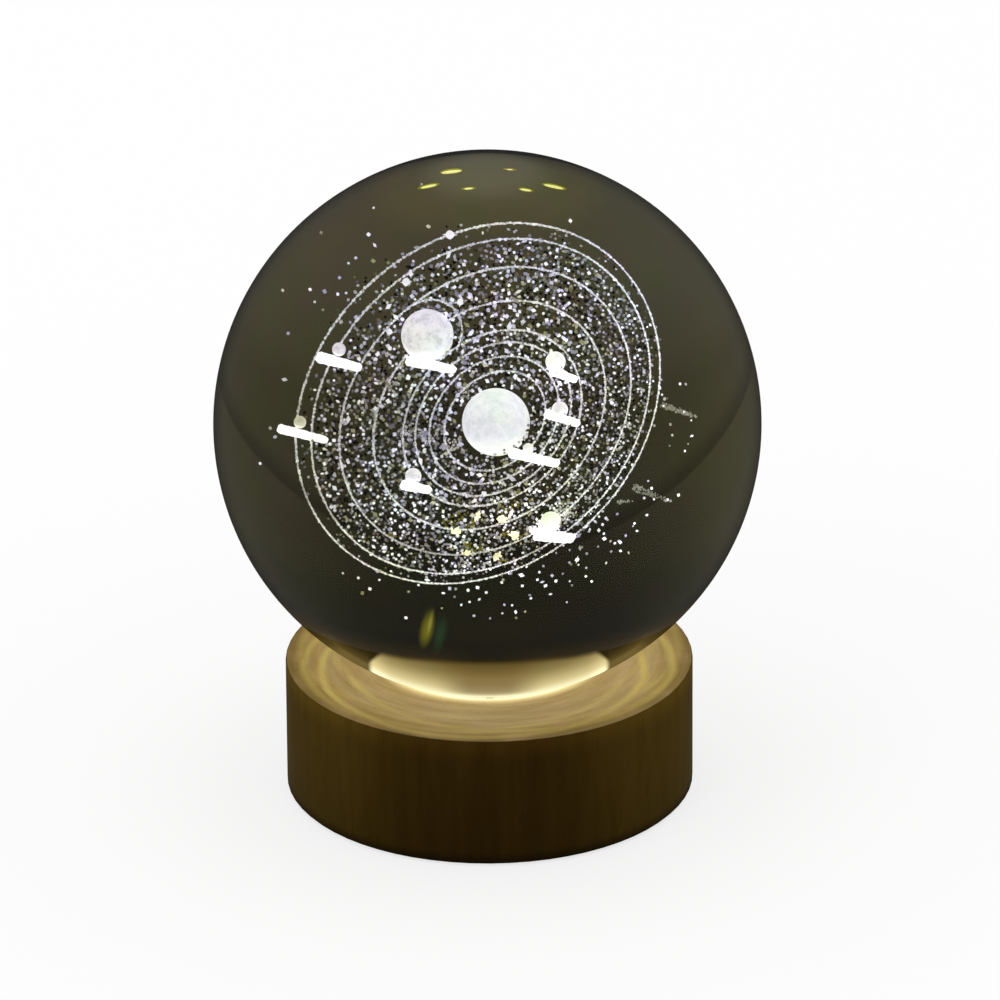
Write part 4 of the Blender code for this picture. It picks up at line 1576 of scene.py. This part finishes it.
    def bar(self, shape: Shape, globe: Globe, draw: random.Random) -> None:
        """Add one plain bar: a flat box with slightly wavering edges and drawn-in ends.

        Args:
            shape: The bmesh that it goes into.
            globe: The globe that it stands beside.
            draw: The source of its random numbers.
        """
        count = max(self.bar_least_steps, round(globe.bar_length / self.bar_step))
        lean = Vector((math.cos(globe.bar_turn), math.sin(globe.bar_turn)))
        front = self.bar_out + self.bar_depth
        back = self.bar_out - self.bar_depth
        rows = []
        for index in range(count + 1):
            along = globe.bar_length * (index / count - 0.5)
            inside = globe.bar_length / 2 - abs(along)
            narrowing = 0.47 - 0.14 * along / globe.bar_length
            room = globe.bar_height * narrowing * min(1.0, 0.62 + inside * 1.6)
            middle = Vector((globe.bar_across, globe.bar_up)) + lean * along
            top = middle.y + room * draw.uniform(*self.bar_waver)
            bottom = middle.y - room * draw.uniform(*self.bar_waver)
            corners = ((top, front), (bottom, front), (bottom, back), (top, back))
            rows.append([shape.verts.new(self.on_plane(middle.x, up, out)) for up, out in corners])
        for first, second in zip(rows, rows[1:]):
            for index in range(4):
                after = (index + 1) % 4
                shape.faces.new((first[index], first[after], second[after], second[index]))
        shape.faces.new(rows[0])
        shape.faces.new(rows[-1])

    def build_bars(self) -> None:
        """Engrave the plain bar beside each globe, level with the drawing."""
        draw = random.Random(self.bar_seed)
        shape = bmesh.new()
        for globe in self.globes:
            if globe.bar_length:
                self.bar(shape, globe, draw)
        self.add_shape("engraved_bars", shape, EngravedMark("bar_marks", 9.0, (0.72, 0.76, 1.0)), False)

    def build_blots(self) -> None:
        """Engrave the ragged patches, each kind in its own tint."""
        for name, blots, finish in (
            ("warm", self.warm_blots, EngravedMark("warm_marks", 6.0, (0.92, 0.92, 0.80), 0.62)),
            ("white", self.white_blots, EngravedMark("white_marks", 6.6, (0.74, 0.77, 1.00), 0.7)),
        ):
            draw = random.Random(self.blot_seed)
            shape = bmesh.new()
            for blot in blots:
                self.ragged(shape, blot, draw)
            self.add_shape(f"engraved_{name}_patches", shape, finish, True)

    def spike(self, shape: Shape, spot: Vector, reach: Vector, width: float) -> None:
        """Add one slim double point.

        Args:
            shape: The bmesh that it goes into.
            spot: Its middle.
            reach: The vector from its middle to one tip.
            width: Its half width at the middle.
        """
        turn = reach.to_track_quat("Z", "Y").to_matrix().to_4x4()
        ring = []
        for step in range(4):
            angle = math.tau * step / 4
            corner = Vector((math.cos(angle) * width, math.sin(angle) * width, 0))
            ring.append(shape.verts.new(spot + turn @ corner))
        top = shape.verts.new(spot + reach)
        bottom = shape.verts.new(spot - reach)
        for index, vert in enumerate(ring):
            after = ring[(index + 1) % 4]
            shape.faces.new((vert, after, top))
            shape.faces.new((after, vert, bottom))

    def build_sparkles(self) -> None:
        """Engrave the brighter, pointed stars, each with a round core."""
        draw = random.Random(self.sparkle_seed)
        shape = bmesh.new()
        for across, up, reach in self.sparkles:
            spot = self.on_plane(across, up, self.sparkle_out)
            for axis in (Vector((1, 0, 0)), Vector((0, 1, 0)), Vector((0, 0, 1))):
                lean = Vector([draw.uniform(-0.3, 0.3) for _ in range(3)])
                along = (axis + lean).normalized() * reach * draw.uniform(0.65, 1.0) * MM
                self.spike(shape, spot, along * 0.95, reach * MM * self.sparkle_width)
            core = reach * self.sparkle_core
            self.lump(shape, Blot(across, up, core, core), self.sparkle_out, 0.0, core)
        finish = EngravedMark("sparkle_marks", 5.4, (0.74, 0.78, 1.00))
        self.add_shape("engraved_sparkles", shape, finish, False)

    def build_painted_glints(self) -> None:
        """Add six painted glints under the top of the glass, glowing shapes that stand in for the LEDs'
        reflections: olive ends, a pale core.
        """
        outer = bmesh.new()
        inner = bmesh.new()
        for glint in self.glints:
            direction = Vector(glint.reach)
            turn = direction.to_track_quat("Z", "Y").to_matrix().to_4x4()
            spot = Matrix.Translation(self.centre + Vector(glint.middle) * MM) @ turn
            half = glint.width * MM
            reach = direction.length * MM
            nearer = Matrix.Translation(Vector(self.glint_core_shift) * half)
            wide, slim = half * self.glint_end_width, half * self.glint_core_width
            ends = spot @ Matrix.Diagonal((wide, wide, reach, 1.0))
            core = nearer @ spot @ Matrix.Diagonal((slim, slim, reach * glint.core, 1.0))
            for shape, matrix in ((outer, ends), (inner, core)):
                bmesh.ops.create_icosphere(shape, subdivisions=3, radius=1.0, matrix=matrix)
        for name, shape, strength, tint in (
            ("painted_glint_ends", outer, 0.62, (0.34, 0.32, 0.010)),
            ("painted_glint_cores", inner, 1.25, (0.84, 0.84, 0.36)),
        ):
            self.add_shape(name, shape, EngravedMark(f"{name}_marks", strength, tint), True)


@dataclass
class GlassBall:
    """The solid ball of smoked glass."""

    centre: Vector
    radius: float
    segments: int = 256
    rings: int = 128

    def build(self) -> None:
        """Build the smooth ball that stands for the ball's solid."""
        name = "smooth_glass_ball"
        shape = bmesh.new()
        bmesh.ops.create_uvsphere(
            shape,
            u_segments=self.segments,
            v_segments=self.rings,
            radius=self.radius,
            matrix=Matrix.Translation(self.centre),
        )
        finish = SmokedGlass("smoked_glass_ball", tuple(self.centre), self.radius).build()
        piece = add_piece(name, settle(shape, name, finish, True), Body.BALL)
        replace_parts(piece, "crystal_ball")


def softened(node: str, angle: float = 35.0, join: float = 0.001 * MM) -> Mesh:
    """Copy a node's mesh, join its points, and shade its round faces smooth.

    Args:
        node: The node's name.
        angle: The angle between faces, in degrees, from which an edge stays sharp.
        join: How near two points are when they become one.

    Returns:
        The copy.
    """
    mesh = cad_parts[node].data.copy()
    shape = bmesh.new()
    shape.from_mesh(mesh)
    bmesh.ops.remove_doubles(shape, verts=shape.verts, dist=join)
    shape.to_mesh(mesh)
    shape.free()
    mesh.shade_smooth()
    mesh.set_sharp_from_angle(angle=math.radians(angle))
    mesh.materials.clear()
    return mesh


@dataclass
class LitBase:
    """The wooden base, its seat ring, and all that it holds."""

    wood_top: float
    wood_bottom: float
    base_radius: float
    seat_radius: float
    seat_inner: float = 13.0 * MM
    plastic: SpeckledFinish = SpeckledFinish(
        "moulded_plastic", (0.014, 0.014, 0.015), (0.028, 0.028, 0.029), 0.34, 0.52
    )
    screws: SpeckledFinish = SpeckledFinish(
        "plated_steel", (0.50, 0.50, 0.50), (0.66, 0.66, 0.65), 0.22, 0.40,
        speckle=4200.0, depth=0.000004, metallic=1.0,
    )
    pad: SpeckledFinish = SpeckledFinish(
        "pad_foam", (0.010, 0.010, 0.010), (0.030, 0.030, 0.031), 0.80, 0.98,
        speckle=1500.0, depth=0.00008,
    )
    cover: SpeckledFinish = SpeckledFinish(
        "pressed_board", (0.060, 0.038, 0.020), (0.150, 0.102, 0.056), 0.70, 0.92,
        speckle=1100.0, depth=0.00004,
    )
    white_board: SpeckledFinish = SpeckledFinish(
        "white_lacquer", (0.72, 0.72, 0.69), (0.82, 0.82, 0.80), 0.30, 0.45,
        speckle=2200.0, depth=0.000006, coat=0.2,
    )
    green_board: SpeckledFinish = SpeckledFinish(
        "green_lacquer", (0.020, 0.115, 0.050), (0.035, 0.170, 0.075), 0.28, 0.42,
        speckle=1800.0, depth=0.000008, coat=0.3,
    )
    ceramic: SpeckledFinish = SpeckledFinish(
        "dark_ceramic", (0.022, 0.022, 0.024), (0.045, 0.045, 0.047), 0.30, 0.50, speckle=6000.0
    )
    red_sleeve: SpeckledFinish = SpeckledFinish(
        "red_sleeving", (0.36, 0.012, 0.012), (0.52, 0.028, 0.024), 0.32, 0.48
    )
    black_sleeve: SpeckledFinish = SpeckledFinish(
        "black_sleeving", (0.014, 0.014, 0.015), (0.028, 0.028, 0.030), 0.32, 0.48
    )
    phosphor: LitPhosphor = LitPhosphor(
        "lit_phosphor", (0.90, 0.66, 0.18), (0.98, 0.82, 0.38), 0.30, 0.50, speckle=5200.0
    )

    def build(self) -> None:
        """Dress the base's pieces."""
        wood = StainedWood(
            "stained_wood", self.wood_top, self.seat_radius, self.base_radius, self.wood_bottom
        ).build()
        ring = SeatSilicone(
            "lit_silicone", (0.24, 0.19, 0.10), (0.32, 0.26, 0.14), 0.35, 0.55, speckle=1500.0,
            inner_radius=self.seat_inner, outer_radius=self.seat_radius - FIT_GAP,
        ).build()
        plastic = self.plastic.build()
        for node, name, body, slot, finish in (
            ("wood_base", "turned_wood_base", Body.BASE, Slot.WALNUT, wood),
            ("seat_ring", "soft_seat_ring", Body.SEAT, Slot.SILICONE, ring),
            ("rear_panel", "moulded_rear_panel", Body.BASE, Slot.BLACK_PLASTIC, plastic),
            ("switch_button", "moulded_button", Body.BUTTON, Slot.BLACK_PLASTIC, plastic),
        ):
            mesh = softened(node)
            mesh.name = name
            mesh.materials.append(finish)
            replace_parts(add_piece(name, mesh, body), node)
        self.dress(plastic, "power_inlet_core", "switch_body")
        self.dress(
            self.screws.build(), "power_inlet_shell", "panel_screw_1", "panel_screw_2", "led_board_screw_1",
            "led_board_screw_2", "cover_screw_1", "cover_screw_2", "cover_screw_3",
        )
        self.dress(self.pad.build(), "base_pad")
        self.dress(self.cover.build(), "bottom_cover")
        self.dress(self.white_board.build(), "led_board")
        self.dress(self.green_board.build(), "inlet_board")
        self.dress(self.ceramic.build(), "resistor_1", "resistor_2", "resistor_3")
        self.dress(self.red_sleeve.build(), "lead_positive")
        self.dress(self.black_sleeve.build(), "lead_negative")
        self.dress(self.phosphor.build(), *(f"led_{index}" for index in range(1, 7)))

    def dress(self, finish: Material, *nodes: str) -> None:
        """Give CAD nodes a finish.

        Args:
            finish: Their material.
            *nodes: The nodes' names.
        """
        for node in nodes:
            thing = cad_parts[node]
            if not thing.material_slots:
                thing.data.materials.append(finish)
            for place in thing.material_slots:
                place.material = finish
            log.info("node %s: %s", node, finish.name)


@dataclass
class Studio:
    """The pale floor, the soft light and the camera."""

    distance: float = 1.500
    elevation: float = math.radians(23.97)
    target: Place = (0.00176, 0.0, 0.04504)
    roll: float = math.radians(-0.40)
    lens: float = 368.9
    sensor_width: float = 36.0
    clip_start: float = 0.01
    clip_end: float = 100.0
    floor_side: float = 12.0
    floor_height: float = -0.02 * MM
    floor_colour: Colour = (0.95, 0.95, 0.95)
    white_share: float = 0.72
    sky_strength: float = 1.0
    lamp_size: float = 0.9
    lamp_power: float = 2.2
    lamp_place: Place = (-0.9, -0.9, 1.2)
    lamp_target: Place = (0.0, 0.0, 0.05)

    def build(self) -> None:
        """Build the studio."""
        self.build_floor()
        self.build_light()
        self.build_camera()

    def build_floor(self) -> None:
        """Lay the floor just under the pad."""
        shape = bmesh.new()
        half = self.floor_side / 2
        corners = ((-half, -half), (half, -half), (half, half), (-half, half))
        shape.faces.new([shape.verts.new((*corner, self.floor_height)) for corner in corners])
        mesh = plain_mesh(shape, "floor")
        mesh.materials.append(self.paper())
        floor = bpy.data.objects.new("floor", mesh)
        bpy.context.scene.collection.objects.link(floor)

    def paper(self) -> Material:
        """Build the floor's material, which shows nearly white however it is lit.

        Returns:
            The material.
        """
        material, bench, shader = new_material("floor_paper")
        plain = {"Base Color": self.floor_colour, "Roughness": 0.9, "Specular IOR Level": 0.0}
        bench.feed(shader, plain)
        path = bench.add("ShaderNodeLightPath").outputs
        seen = bench.maths("MAXIMUM", path["Is Camera Ray"], path["Is Glossy Ray"])
        seen = bench.maths("MAXIMUM", seen, path["Is Transmission Ray"])
        white = bench.add("ShaderNodeEmission", {"Color": WHITE})
        ways = {0: bench.product(seen, self.white_share), 1: shader.outputs[0], 2: white.outputs[0]}
        mix = bench.add("ShaderNodeMixShader", ways)
        bench.feed(bench.tree.nodes["Material Output"], {"Surface": mix.outputs[0]})
        return material

    def build_light(self) -> None:
        """Light the lamp evenly from all round, with one large soft lamp from the front left."""
        world = bpy.data.worlds.new("studio")
        world.use_nodes = True
        sky = world.node_tree.nodes["Background"]
        NodeBench(world.node_tree).feed(sky, {"Color": WHITE, "Strength": self.sky_strength})
        bpy.context.scene.world = world
        light = bpy.data.lights.new("soft_lamp", "AREA")
        light.shape = "DISK"
        light.size = self.lamp_size
        light.energy = self.lamp_power
        self.aim("soft_lamp", light, Vector(self.lamp_place), Vector(self.lamp_target))

    def build_camera(self) -> None:
        """Set the camera where the photograph was taken from."""
        camera = bpy.data.cameras.new("camera")
        camera.lens = self.lens
        camera.sensor_width = self.sensor_width
        camera.clip_start = self.clip_start
        camera.clip_end = self.clip_end
        ahead = Vector((0, math.cos(self.elevation), -math.sin(self.elevation)))
        target = Vector(self.target)
        holder = self.aim("camera", camera, target - ahead * self.distance, target)
        holder.rotation_quaternion = holder.rotation_quaternion @ Quaternion((0.0, 0.0, 1.0), self.roll)
        bpy.context.scene.camera = holder

    def aim(self, name: str, data: bpy.types.ID, place: Vector, target: Vector) -> bpy.types.Object:
        """Put a light or a camera in the scene, and point it at a target.

        Args:
            name: Its name.
            data: The light or the camera.
            place: Where it stands.
            target: What it points at.

        Returns:
            The object.
        """
        holder = bpy.data.objects.new(name, data)
        holder.location = place
        holder.rotation_mode = "QUATERNION"
        holder.rotation_quaternion = (target - place).to_track_quat("-Z", "Y")
        bpy.context.scene.collection.objects.link(holder)
        return holder


def main() -> None:
    """Build the studio and dress the lamp, piece by piece."""
    logging.basicConfig(level=logging.INFO, format="%(name)s: %(message)s")
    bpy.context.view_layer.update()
    ball_low, ball_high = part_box("crystal_ball")
    wood_low, wood_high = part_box("wood_base")
    _, ring_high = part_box("seat_ring")
    centre = (ball_low + ball_high) / 2
    Studio().build()
    LitBase(wood_high.z, wood_low.z, wood_high.x, ring_high.x + FIT_GAP).build()
    SolarEngraving(centre).build()
    GlassBall(centre, (ball_high.z - ball_low.z) / 2).build()
    bpy.context.scene.view_settings.view_transform = "Standard"


if __name__ == "__main__":
    main()
